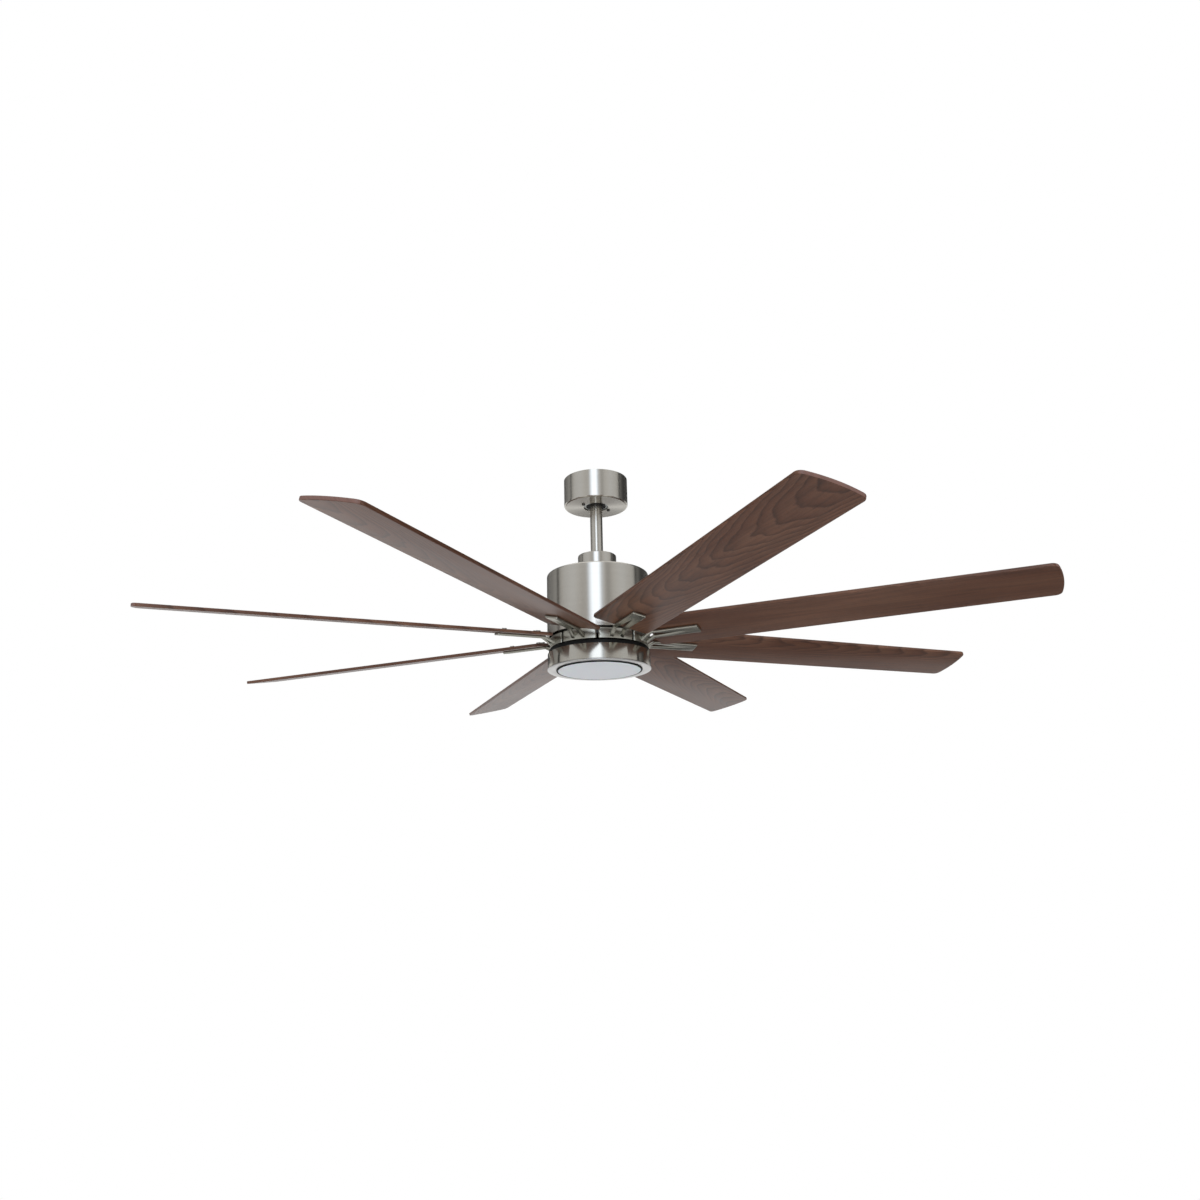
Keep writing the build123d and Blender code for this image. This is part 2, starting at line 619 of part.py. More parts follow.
coupling_screw = screw(
    Plane.XY.offset(housing_top + COUPLING_FLANGE), ARM_SCREW, COUPLING_FLANGE + HOUSING_WALL
).translate((COUPLING_SCREW_RADIUS, 0, 0))
finished["coupling_screws"] = around(coupling_screw, coupling_screw_turns)

with BuildPart() as coupling_cover:
    cover_top = coupling_top + COVER_ABOVE
    revolve(
        section(
            (DOWNROD_RADIUS + COVER_ROD_GAP, cover_top),
            (COVER_RADIUS, cover_top),
            (COVER_RADIUS, housing_top),
            (COVER_RADIUS - COVER_WALL, housing_top),
            (COVER_RADIUS - COVER_WALL, cover_top - COVER_WALL),
            (DOWNROD_RADIUS + COVER_ROD_GAP, cover_top - COVER_WALL),
        ),
        axis=Axis.Z,
    )
    rims = coupling_cover.edges().filter_by(GeomType.CIRCLE).group_by(SortBy.RADIUS)
    outer_rim = rims[-1].sort_by(Axis.Z)[-1]
    inner_rim = rims[-2].sort_by(Axis.Z)[-1]
    fillet(outer_rim, COVER_EDGE)
    fillet(inner_rim, COVER_EDGE - COVER_WALL)
finished["coupling_cover"] = coupling_cover.part

# ---------------------------------------------------------------- motor housing

with BuildPart() as motor_housing:
    revolve(
        section(
            (SHAFT_RADIUS + SHAFT_CLEARANCE, housing_top),
            (HOUSING_RADIUS, housing_top),
            (HOUSING_RADIUS, housing_bottom),
            (HOUSING_RADIUS - HOUSING_LIP, housing_bottom),
            (HOUSING_RADIUS - HOUSING_LIP, housing_bottom + HOUSING_WALL),
            (HOUSING_RADIUS - HOUSING_WALL, housing_bottom + HOUSING_WALL),
            (HOUSING_RADIUS - HOUSING_WALL, housing_top - HOUSING_WALL),
            (SHAFT_RADIUS + SHAFT_CLEARANCE, housing_top - HOUSING_WALL),
        ),
        axis=Axis.Z,
    )
    rims = motor_housing.edges().filter_by(GeomType.CIRCLE).group_by(SortBy.RADIUS)
    outer_rim = rims[-1].sort_by(Axis.Z)[-1]
    inner_rim = rims[-2].sort_by(Axis.Z)[-1]
    fillet(outer_rim, HOUSING_EDGE)
    fillet(inner_rim, HOUSING_EDGE - HOUSING_WALL)
    with BuildSketch(Plane.XY.offset(housing_top)):
        with PolarLocations(COUPLING_SCREW_RADIUS, COUPLING_SCREW_COUNT, start_angle=half_step):
            Circle(ARM_SCREW[0] + SCREW_CLEARANCE)
        for side in (-1, 1):
            with Locations((side * controller_screw_x, CONTROLLER_OFFSET)):
                Circle(SMALL_SCREW[0] + SCREW_CLEARANCE)
    extrude(amount=-HOUSING_WALL, mode=Mode.SUBTRACT)
finished["motor_housing"] = motor_housing.part

with BuildPart() as motor_controller:
    with BuildSketch(Plane.XY.offset(housing_top - HOUSING_WALL)):
        with Locations((0, CONTROLLER_OFFSET)):
            RectangleRounded(CONTROLLER_SIZE[0], CONTROLLER_SIZE[1], CONTROLLER_EDGE)
    extrude(amount=-CONTROLLER_SIZE[2])
    fillet(motor_controller.faces().sort_by(Axis.Z)[0].edges(), CONTROLLER_EDGE / 2)
    with BuildSketch(Plane.XY.offset(housing_top - HOUSING_WALL)):
        with Locations((0, CONTROLLER_OFFSET)):
            RectangleRounded(CONTROLLER_SIZE[0] + 2 * CONTROLLER_TAB, CONTROLLER_TAB, CONTROLLER_EDGE)
        for side in (-1, 1):
            with Locations((side * controller_screw_x, CONTROLLER_OFFSET)):
                Circle(SMALL_SCREW[0] + SCREW_CLEARANCE, mode=Mode.SUBTRACT)
    extrude(amount=-CONTROLLER_FLANGE)
finished["motor_controller"] = motor_controller.part

# ---------------------------------------------------------------- motor

with BuildPart() as motor_shaft:
    revolve(
        section(
            (SHAFT_BORE, shaft_top),
            (SHAFT_RADIUS, shaft_top),
            (SHAFT_RADIUS, upper_race),
            (shoulder_radius, upper_race),
            (shoulder_radius, lower_race),
            (SHAFT_RADIUS, lower_race),
            (SHAFT_RADIUS, adapter_top),
            (thread_radius, adapter_top),
            (thread_radius, shaft_bottom),
            (SHAFT_BORE, shaft_bottom),
        ),
        axis=Axis.Z,
    )
finished["motor_shaft"] = motor_shaft.part

with BuildPart() as stator_core:
    with BuildSketch(Plane.XY.offset(rotor_middle)):
        Circle(STATOR_HUB_RADIUS)
        Circle(stator_radius)
        Circle(stator_radius - TOOTH_SHOE, mode=Mode.SUBTRACT)
        slot_angle = 360 / TOOTH_COUNT - SHOE_ANGLE
        with PolarLocations(0, TOOTH_COUNT, start_angle=180 / TOOTH_COUNT):
            with BuildLine():
                Polyline(
                    (0, 0),
                    (2 * stator_radius, 2 * stator_radius * sin(radians(slot_angle / 2))),
                    (2 * stator_radius, -2 * stator_radius * sin(radians(slot_angle / 2))),
                    close=True,
                )
            make_face(mode=Mode.SUBTRACT)
        Circle(STATOR_HUB_RADIUS)
        with PolarLocations(stator_radius - TOOTH_SHOE, TOOTH_COUNT):
            Rectangle(stator_radius - TOOTH_SHOE, TOOTH_WIDTH, align=(Align.MAX, Align.CENTER))
        Circle(shoulder_radius, mode=Mode.SUBTRACT)
    extrude(amount=STATOR_HEIGHT / 2, both=True)
finished["stator_core"] = stator_core.part

coil_outer = sqrt((stator_radius - TOOTH_SHOE) ** 2 - (COIL_WIDTH / 2) ** 2) - COIL_CLEARANCE
with BuildPart() as coil:
    coil_middle = (coil_outer + COIL_INNER) / 2
    with BuildSketch(Plane.YZ.offset(COIL_INNER)):
        with Locations((0, rotor_middle)):
            RectangleRounded(COIL_WIDTH, COIL_HEIGHT, COIL_CORNER)
            Rectangle(TOOTH_WIDTH, STATOR_HEIGHT, mode=Mode.SUBTRACT)
    extrude(amount=coil_outer - COIL_INNER)
finished["stator_coils"] = around(coil.part, even_turns(TOOTH_COUNT))

race_inner = SHAFT_RADIUS + RACE_THICKNESS
race_outer = BEARING_RADIUS - RACE_THICKNESS
ball_pitch = (race_inner + race_outer) / 2
bearing_middles = [upper_race + BEARING_WIDTH / 2, lower_race - BEARING_WIDTH / 2]


def race(inner, outer, middle):
    """One race of a ball bearing, with the round track that its balls run in."""
    with BuildPart() as made:
        with BuildSketch(Plane.XZ):
            with Locations(((inner + outer) / 2, middle)):
                Rectangle(outer - inner, BEARING_WIDTH)
            with Locations((ball_pitch, middle)):
                Circle(BALL_BEARING_RADIUS + BEARING_PLAY, mode=Mode.SUBTRACT)
        revolve(axis=Axis.Z)
    return made.part


finished["bearing_inner_races"] = group(
    race(SHAFT_RADIUS, race_inner, middle) for middle in bearing_middles
)
finished["bearing_outer_races"] = group(
    race(race_outer, BEARING_RADIUS, middle) for middle in bearing_middles
)

bearing_balls = []
for middle in bearing_middles:
    with BuildPart() as bearing_ball:
        with Locations((ball_pitch, 0, middle)):
            Sphere(BALL_BEARING_RADIUS)
    bearing_balls += [bearing_ball.part.rotate(Axis.Z, turn) for turn in even_turns(BALL_BEARING_COUNT)]
finished["bearing_balls"] = group(bearing_balls)

rotor_screw_turns = even_turns(ROTOR_SCREW_COUNT)
flywheel_screw_start = 180 / FLYWHEEL_SCREW_COUNT
flywheel_screw_turns = even_turns(FLYWHEEL_SCREW_COUNT, flywheel_screw_start)
rotor_flange_radius = ROTOR_RADIUS + ROTOR_FLANGE
rotor_screw_radius = ROTOR_RADIUS + ROTOR_FLANGE / 2


def rotor_shell(plane, closed):
    """Half of the rotor's case: a cup with a flange at its mouth and a bearing seat in its closed end.

    The plane is at the closed end and its normal points out of the case.
    """
    depth = ROTOR_HEIGHT / 2
    seat_depth = BEARING_LIP + BEARING_WIDTH
    with BuildPart() as made:
        with BuildSketch(plane):
            Circle(ROTOR_RADIUS)
        extrude(amount=-depth)
        with BuildSketch(plane.offset(-depth)):
            Circle(rotor_flange_radius)
        extrude(amount=ROTOR_FLANGE_THICKNESS)
        with BuildSketch(plane.offset(-ROTOR_WALL)):
            Circle(ROTOR_RADIUS - ROTOR_WALL)
            Circle(BEARING_RADIUS + BEARING_BOSS, mode=Mode.SUBTRACT)
        extrude(amount=ROTOR_WALL - depth, mode=Mode.SUBTRACT)
        with BuildSketch(plane.offset(-seat_depth)):
            Circle(ROTOR_RADIUS - ROTOR_WALL)
        extrude(amount=seat_depth - depth, mode=Mode.SUBTRACT)
        with BuildSketch(plane.offset(-BEARING_LIP)):
            Circle(BEARING_RADIUS)
        extrude(amount=-BEARING_WIDTH, mode=Mode.SUBTRACT)
        with BuildSketch(plane):
            Circle(race_lip)
        extrude(amount=-seat_depth, mode=Mode.SUBTRACT)
        with BuildSketch(plane.offset(-depth)):
            with PolarLocations(rotor_screw_radius, ROTOR_SCREW_COUNT):
                Circle(SMALL_SCREW[0] + SCREW_CLEARANCE)
        extrude(amount=ROTOR_FLANGE_THICKNESS, mode=Mode.SUBTRACT)
        if closed:
            with BuildSketch(plane):
                with PolarLocations(
                    FLYWHEEL_SCREW_RADIUS, FLYWHEEL_SCREW_COUNT, start_angle=flywheel_screw_start
                ):
                    Circle(SMALL_SCREW[0] + SCREW_CLEARANCE)
            extrude(amount=-ROTOR_WALL, mode=Mode.SUBTRACT)
    return made.part


finished["rotor_top_shell"] = rotor_shell(Plane.XY.offset(rotor_top), closed=False)
finished["rotor_bottom_shell"] = rotor_shell(facing_down(0, 0, rotor_bottom), closed=True)

with BuildPart() as magnet:
    with BuildSketch(Plane.XY.offset(rotor_middle)):
        Circle(magnet_outer)
        Circle(magnet_outer - MAGNET_THICKNESS, mode=Mode.SUBTRACT)
        half_angle = 180 / MAGNET_COUNT - MAGNET_SPACING / 2
        reach = 2 * magnet_outer
        with BuildLine():
            Polyline(
                (0, 0),
                (reach, -reach * sin(radians(half_angle)) / cos(radians(half_angle))),
                (reach, reach * sin(radians(half_angle)) / cos(radians(half_angle))),
                close=True,
            )
        make_face(mode=Mode.INTERSECT)
    extrude(amount=MAGNET_HEIGHT / 2, both=True)
finished["rotor_magnets"] = around(magnet.part, even_turns(MAGNET_COUNT))

flange_screw = screw(
    Plane.XY.offset(rotor_middle + ROTOR_FLANGE_THICKNESS), SMALL_SCREW, 2 * ROTOR_FLANGE_THICKNESS
).translate((rotor_screw_radius, 0, 0))
flywheel_screw = screw(
    Plane.XY.offset(rotor_bottom + ROTOR_WALL), SMALL_SCREW, ROTOR_WALL + FLYWHEEL_BOSS_HEIGHT
).translate((FLYWHEEL_SCREW_RADIUS, 0, 0))
finished["rotor_screws"] = group(
    [flange_screw.rotate(Axis.Z, turn) for turn in rotor_screw_turns]
    + [flywheel_screw.rotate(Axis.Z, turn) for turn in flywheel_screw_turns]
)

# ---------------------------------------------------------------- flywheel and blade arms

arm_screw_turns = [turn + side * ARM_SCREW_ANGLE for turn in blade_turns for side in (-1, 1)]
pocket_inner, pocket_outer, pocket_depth = FLYWHEEL_POCKET

with BuildPart() as flywheel:
    with BuildSketch(Plane.XY.offset(flywheel_bottom)):
        Circle(FLYWHEEL_RADIUS)
    extrude(amount=FLYWHEEL_HEIGHT)
    chamfer(flywheel.edges().filter_by(GeomType.CIRCLE), HEAD_EDGE)
    with BuildSketch(Plane.XY.offset(flywheel_top)):
        Circle(FLYWHEEL_BOSS_RADIUS)
    extrude(amount=FLYWHEEL_BOSS_HEIGHT)
    with BuildSketch(Plane.XY.offset(flywheel_top)):
        Circle(pocket_outer)
        Circle(pocket_inner, mode=Mode.SUBTRACT)
    extrude(amount=-pocket_depth, mode=Mode.SUBTRACT)
    with BuildSketch(Plane.XY.offset(flywheel_bottom)):
        Circle(FLYWHEEL_HOLE)
    extrude(amount=FLYWHEEL_HEIGHT + FLYWHEEL_BOSS_HEIGHT, mode=Mode.SUBTRACT)
    with BuildSketch(Plane.XY.offset(rotor_bottom)):
        with PolarLocations(
            FLYWHEEL_SCREW_RADIUS, FLYWHEEL_SCREW_COUNT, start_angle=flywheel_screw_start
        ):
            Circle(SMALL_SCREW[0] + SCREW_CLEARANCE)
    extrude(amount=-FLYWHEEL_BOSS_HEIGHT - 2 * SCREW_CLEARANCE, mode=Mode.SUBTRACT)
    with BuildSketch(Plane.XY.offset(flywheel_bottom)):
        for turn in arm_screw_turns:
            with PolarLocations(ARM_SCREW_RADIUS, 1, start_angle=turn):
                Circle(ARM_SCREW[0] + SCREW_CLEARANCE)
    extrude(amount=ARM_SCREW_BITE + 2 * SCREW_CLEARANCE, mode=Mode.SUBTRACT)
finished["flywheel"] = flywheel.part

window_half = WINDOW_WIDTH / 2
foot_half = FOOT_ANGLE / 2
foot_reach = 2 * foot_outer
prong_root_z = flywheel_bottom - PRONG_DROP
prong_tip = tongue_start + PRONG_BITE

with BuildPart() as blade_arm:
    # The tongue lies on the blade's underside, so its sketch plane is pitched like the blade.
    with BuildSketch(blade_plane):
        with Locations(((tongue_start + tongue_end) / 2, 0)):
            Rectangle(tongue_end - tongue_start, TONGUE_WIDTH)
    extrude(amount=-TONGUE_THICKNESS)
    through_blade = Axis(blade_plane.origin, blade_plane.z_dir)
    fillet(blade_arm.edges().filter_by(through_blade).sort_by(Axis.X)[-2:], TONGUE_CORNER)
    lower_face = blade_arm.faces().sort_by(through_blade)[0]
    chamfer(lower_face.edges().sort_by(Axis.X)[1:], TONGUE_BEVEL)
    with BuildSketch(blade_plane):
        with BuildLine():
            Polyline(
                (tongue_start, -window_half),
                (window_end, 0),
                (tongue_start, window_half),
                close=True,
            )
        make_face()
    extrude(amount=-TONGUE_THICKNESS, mode=Mode.SUBTRACT)
    # The foot is a wedge of the ring under the flywheel, with a wall that stands up round its rim.
    with BuildSketch(Plane.XY.offset(flywheel_top)) as foot:
        Circle(foot_outer)
        Circle(foot_inner, mode=Mode.SUBTRACT)
        with BuildLine():
            Polyline(
                (0, 0),
                (foot_reach * cos(radians(foot_half)), -foot_reach * sin(radians(foot_half))),
                (foot_reach * cos(radians(foot_half)), foot_reach * sin(radians(foot_half))),
                close=True,
            )
        make_face(mode=Mode.INTERSECT)
        fillet(foot.vertices(), FOOT_CORNER)
    extrude(amount=-FLYWHEEL_HEIGHT - FOOT_HEIGHT)
    with BuildSketch(Plane.XY.offset(flywheel_top)):
        Circle(FLYWHEEL_RADIUS + FOOT_CLEARANCE)
    extrude(amount=-FLYWHEEL_HEIGHT, mode=Mode.SUBTRACT)
    # Two prongs rise from the foot to the two sides of the tongue.
    for side in (-1, 1):
        prong_foot = (foot_outer - PRONG_INSET, side * PRONG_SPREAD, prong_root_z)
        with BuildSketch(Plane(origin=prong_foot, x_dir=(0, 1, 0), z_dir=(1, 0, 0))):
            RectangleRounded(PRONG_ROOT, PRONG_ROOT, TONGUE_BEVEL)
        prong_end = blade_plane.from_local_coords((prong_tip, side * prong_middle, -TONGUE_THICKNESS / 2))
        with BuildSketch(Plane(origin=prong_end, x_dir=blade_plane.y_dir, z_dir=(1, 0, 0))):
            RectangleRounded(PRONG_WIDTH, TONGUE_THICKNESS - PRONG_SHY, TONGUE_BEVEL)
        loft()
    with BuildSketch(blade_plane):
        with Locations(*blade_screw_places):
            Circle(BLADE_SCREW[0] + SCREW_CLEARANCE)
    extrude(amount=-BLADE_SCREW_DEPTH - SCREW_CLEARANCE, mode=Mode.SUBTRACT)
    for side in (-1, 1):
        with BuildSketch(Plane.XY.offset(flywheel_bottom - FOOT_HEIGHT)):
            with PolarLocations(ARM_SCREW_RADIUS, 1, start_angle=side * ARM_SCREW_ANGLE):
                Circle(ARM_SCREW[1] + 2 * SCREW_CLEARANCE)
        extrude(amount=FOOT_HEIGHT - FOOT_PLATE, mode=Mode.SUBTRACT)
        with BuildSketch(Plane.XY.offset(flywheel_bottom)):
            with PolarLocations(ARM_SCREW_RADIUS, 1, start_angle=side * ARM_SCREW_ANGLE):
                Circle(ARM_SCREW[0] + SCREW_CLEARANCE)
        extrude(amount=-FOOT_PLATE, mode=Mode.SUBTRACT)

arm_screw = screw(
    facing_down(ARM_SCREW_RADIUS, 0, flywheel_bottom - FOOT_PLATE), ARM_SCREW, FOOT_PLATE + ARM_SCREW_BITE
)
finished["arm_screws"] = around(arm_screw, arm_screw_turns)

# ---------------------------------------------------------------- blades

tip = SPAN / 2
blade_side_end = tip - BLADE_TIP_BULGE

with BuildPart() as blade:
    with BuildSketch(blade_plane):
        with BuildLine():
            root = Line((blade_root, BLADE_ROOT_WIDTH / 2), (blade_root, -BLADE_ROOT_WIDTH / 2))
            lower_side = Line(root @ 1, (blade_side_end, -BLADE_TIP_WIDTH / 2))
            end = ThreePointArc(lower_side @ 1, (tip, 0), (blade_side_end, BLADE_TIP_WIDTH / 2))
            Line(end @ 1, root @ 0)
        outline = make_face()
        fillet(outline.vertices(), BLADE_CORNER)
    extrude(amount=BLADE_THICKNESS)
    broad_faces = blade.faces().filter_by(GeomType.PLANE).sort_by(SortBy.AREA)[-2:]
    fillet(broad_faces.edges(), BLADE_EDGE)
    with BuildSketch(blade_plane):
        with Locations(*blade_screw_places):
            Circle(BLADE_SCREW[0] + SCREW_CLEARANCE)
    extrude(amount=BLADE_THICKNESS, mode=Mode.SUBTRACT)

for n, turn in enumerate(blade_turns, start=1):
    finished[f"blade_arm_{n}"] = blade_arm.part.rotate(Axis.Z, turn)
    finished[f"blade_{n}"] = blade.part.rotate(Axis.Z, turn)

washer_plane = blade_plane.offset(BLADE_THICKNESS)
washers = []
blade_screws = []
for x, y in blade_screw_places:
    here = Plane(
        origin=washer_plane.from_local_coords((x, y, 0)), x_dir=blade_plane.x_dir, z_dir=blade_plane.z_dir
    )
    with BuildPart() as washer:
        with BuildSketch(here):
            Circle(BLADE_WASHER_RADIUS)
            Circle(BLADE_SCREW[0] + SCREW_CLEARANCE, mode=Mode.SUBTRACT)
        extrude(amount=BLADE_WASHER)
    washers += [washer.part.rotate(Axis.Z, turn) for turn in blade_turns]
    screw_reach = BLADE_WASHER + BLADE_THICKNESS + BLADE_SCREW_DEPTH
    blade_screw = screw(here.offset(BLADE_WASHER), BLADE_SCREW, screw_reach)
    blade_screws += [blade_screw.rotate(Axis.Z, turn) for turn in blade_turns]
finished["blade_washers"] = group(washers)
finished["blade_screws"] = group(blade_screws)

# ---------------------------------------------------------------- light

light_screw_start = 90 / LIGHT_SCREW_COUNT
light_screw_turns = even_turns(LIGHT_SCREW_COUNT, light_screw_start)
standoff_start = light_screw_start + 180 / LIGHT_SCREW_COUNT
standoff_turns = even_turns(LIGHT_SCREW_COUNT, standoff_start)
small_hole = SMALL_SCREW[0] + SCREW_CLEARANCE

with BuildPart() as light_adapter:
    with BuildSketch(Plane.XY.offset(adapter_bottom)):
        Circle(ADAPTER_RADIUS)
    extrude(amount=ADAPTER_HEIGHT)
    with BuildSketch(Plane.XY.offset(adapter_bottom)):
        Circle(ADAPTER_RADIUS - ADAPTER_WALL)
        with PolarLocations(LIGHT_SCREW_RADIUS, LIGHT_SCREW_COUNT, start_angle=light_screw_start):
            Circle(ADAPTER_BOSS_RADIUS, mode=Mode.SUBTRACT)
    extrude(amount=ADAPTER_HEIGHT - ADAPTER_WALL, mode=Mode.SUBTRACT)
    with BuildSketch(Plane.XY.offset(adapter_top)):
        Circle(thread_radius + SHAFT_CLEARANCE)
    extrude(amount=-ADAPTER_WALL, mode=Mode.SUBTRACT)
    with BuildSketch(Plane.XY.offset(adapter_bottom)):
        with PolarLocations(LIGHT_SCREW_RADIUS, LIGHT_SCREW_COUNT, start_angle=light_screw_start):
            Circle(small_hole)
    extrude(amount=ADAPTER_HEIGHT - ADAPTER_WALL, mode=Mode.SUBTRACT)
finished["light_adapter"] = light_adapter.part

with BuildPart() as shaft_nut:
    with BuildSketch(Plane.XY.offset(nut_top)):
        RegularPolygon(NUT_FLATS / 2, HEXAGON, major_radius=False)
        Circle(thread_radius + SHAFT_CLEARANCE, mode=Mode.SUBTRACT)
    extrude(amount=-NUT_HEIGHT)
    chamfer(shaft_nut.faces().sort_by(Axis.Z)[0].outer_wire().edges(), HEAD_EDGE)
finished["shaft_nut"] = shaft_nut.part

with BuildPart() as light_pan:
    with BuildSketch(Plane.XY.offset(pan_bottom)):
        Circle(PAN_RADIUS)
    extrude(amount=PAN_HEIGHT)
    with BuildSketch(Plane.XY.offset(pan_bottom)):
        Circle(PAN_RADIUS - PAN_WALL)
    extrude(amount=PAN_HEIGHT - PAN_WALL, mode=Mode.SUBTRACT)
    with BuildSketch(Plane.XY.offset(adapter_bottom)):
        Circle(PAN_HOLE_RADIUS)
        with PolarLocations(LIGHT_SCREW_RADIUS, LIGHT_SCREW_COUNT, start_angle=light_screw_start):
            Circle(small_hole)
    extrude(amount=-PAN_WALL, mode=Mode.SUBTRACT)
finished["light_pan"] = light_pan.part

tray_bottom = tray_top - TRAY_THICKNESS
with BuildPart() as led_tray:
    with BuildSketch(Plane.XY.offset(tray_bottom)):
        Circle(TRAY_RADIUS)
        with PolarLocations(STANDOFF_RADIUS, LIGHT_SCREW_COUNT, start_angle=standoff_start):
            Circle(small_hole, mode=Mode.SUBTRACT)
    extrude(amount=TRAY_THICKNESS)
finished["led_tray"] = led_tray.part

with BuildPart() as standoff:
    with BuildSketch(Plane(origin=(STANDOFF_RADIUS, 0, tray_top))):
        RegularPolygon(STANDOFF_FLATS / 2, HEXAGON, major_radius=False)
    extrude(amount=TRAY_DROP)
    with BuildSketch(Plane(origin=(STANDOFF_RADIUS, 0, tray_top))):
        Circle(small_hole)
    extrude(amount=STANDOFF_HOLE, mode=Mode.SUBTRACT)
finished["led_standoffs"] = around(standoff.part, standoff_turns)

light_screw = screw(
    facing_down(LIGHT_SCREW_RADIUS, 0, adapter_bottom - PAN_WALL), SMALL_SCREW, PAN_WALL + LIGHT_SCREW_BITE
)
tray_screw = screw(
    facing_down(STANDOFF_RADIUS, 0, tray_bottom), SMALL_SCREW, TRAY_THICKNESS + LIGHT_SCREW_BITE
)
controller_bottom = housing_top - HOUSING_WALL - CONTROLLER_FLANGE
controller_screws = [
    screw(facing_down(side * controller_screw_x, CONTROLLER_OFFSET, controller_bottom), SMALL_SCREW,
          CONTROLLER_FLANGE + HOUSING_WALL)
    for side in (-1, 1)
]
finished["inner_screws"] = group(
    [light_screw.rotate(Axis.Z, turn) for turn in light_screw_turns]
    + [tray_screw.rotate(Axis.Z, turn) for turn in standoff_turns]
    + controller_screws
)

with BuildPart() as led_driver:
    with BuildSketch(Plane.XY.offset(tray_top)):
        with Locations((0, DRIVER_OFFSET)):
            RectangleRounded(DRIVER_SIZE[0], DRIVER_SIZE[1], CONTROLLER_EDGE)
    extrude(amount=DRIVER_SIZE[2])
    fillet(led_driver.faces().sort_by(Axis.Z)[-1].edges(), CONTROLLER_EDGE / 2)
finished["led_driver"] = led_driver.part

with BuildPart() as led_board:
    with BuildSketch(Plane.XY.offset(tray_bottom)):
        Circle(BOARD_RADIUS)
    extrude(amount=-BOARD_THICKNESS)
finished["led_board"] = led_board.part

leds = []
with BuildPart() as led:
    with Locations((0, 0, tray_bottom - BOARD_THICKNESS)):
        Box(*LED_SIZE, align=(Align.CENTER, Align.CENTER, Align.MAX))
for ring_radius, ring_count in LED_RINGS:
    led_on_ring = led.part.translate((ring_radius, 0, 0))
    leds += [led_on_ring.rotate(Axis.Z, turn) for turn in even_turns(ring_count)]
finished["led_chips"] = group(leds)

lens_hole = LENS_RADIUS + LENS_GAP
spigot_wall, spigot_height = TRIM_SPIGOT
spigot_outer = PAN_RADIUS - PAN_WALL - TRIM_FIT

with BuildPart() as trim_ring:
    with BuildSketch(Plane.XY.offset(trim_bottom)):
        Circle(TRIM_RADIUS)
        Circle(lens_hole, mode=Mode.SUBTRACT)
    extrude(amount=TRIM_THICKNESS)
    fillet(trim_ring.edges().filter_by(GeomType.CIRCLE).group_by(SortBy.RADIUS)[-1], TRIM_EDGE)
    with BuildSketch(Plane.XY.offset(trim_top)):
        Circle(spigot_outer)
        Circle(spigot_outer - spigot_wall, mode=Mode.SUBTRACT)
    extrude(amount=spigot_height)
finished["trim_ring"] = trim_ring.part

with BuildPart() as lens:
    with BuildSketch(Plane.XY.offset(lens_bottom)):
        Circle(LENS_RADIUS)
    extrude(amount=trim_top - lens_bottom)
    fillet(lens.edges().filter_by(GeomType.CIRCLE).sort_by(Axis.Z)[0], LENS_EDGE)
    with BuildSketch(Plane.XY.offset(trim_top)):
        Circle(LENS_RADIUS + LENS_FLANGE)
    extrude(amount=LENS_FLANGE_THICKNESS)
    with BuildSketch(Plane.XY.offset(lens_bottom + LENS_WALL)):
        Circle(LENS_RADIUS - LENS_WALL)
    extrude(amount=trim_top + LENS_FLANGE_THICKNESS - lens_bottom - LENS_WALL, mode=Mode.SUBTRACT)
finished["lens"] = lens.part

# ---------------------------------------------------------------- leads to the light

plug_top = tray_top + PLUG_SIZE[2]
with BuildPart() as light_plug:
    with Locations((0, 0, tray_top)):
        Box(*PLUG_SIZE, align=(Align.CENTER, Align.CENTER, Align.MIN))
    fillet(light_plug.edges().filter_by(Axis.Z), HEAD_EDGE)
finished["light_plug"] = light_plug.part

crossing_top = clevis_z - CLEVIS_PIN_RADIUS - WIRE_RADIUS
crossing_bottom = shaft_top + WIRE_RADIUS
wires = []
for turn in even_turns(WIRE_COUNT):
    offset = Vector(WIRE_RING, 0).rotate(Axis.Z, turn)
    with BuildPart() as wire:
        with BuildLine() as path:
            FilletPolyline(
                (offset.X, offset.Y + WIRE_OFFSET, rod_top),
                (offset.X, offset.Y + WIRE_OFFSET, crossing_top),
                (offset.X, offset.Y, crossing_bottom),
                (offset.X, offset.Y, plug_top),
                radius=WIRE_BEND,
            )
        with BuildSketch(Plane(origin=path.line @ 0, z_dir=path.line % 0)):
            Circle(WIRE_RADIUS)
        sweep()
    wires.append(wire.part)
driver_side = DRIVER_OFFSET - DRIVER_SIZE[1] / 2
for side in (-1, 1):
    with BuildPart() as wire:
        with BuildSketch(Plane.XZ.offset(-PLUG_SIZE[1] / 2)):
            with Locations((side * WIRE_RING, tray_top + PLUG_SIZE[2] / 2)):
                Circle(WIRE_RADIUS)
        extrude(amount=PLUG_SIZE[1] / 2 - driver_side)
    wires.append(wire.part)
finished["light_leads"] = group(wires)

# ---------------------------------------------------------------- output

os.makedirs("parts", exist_ok=True)
for name, piece in finished.items():
    piece.label = name
    export_step(piece, f"parts/{name}.step")
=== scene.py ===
import math

import bmesh
import bpy
from mathutils import Matrix, Vector


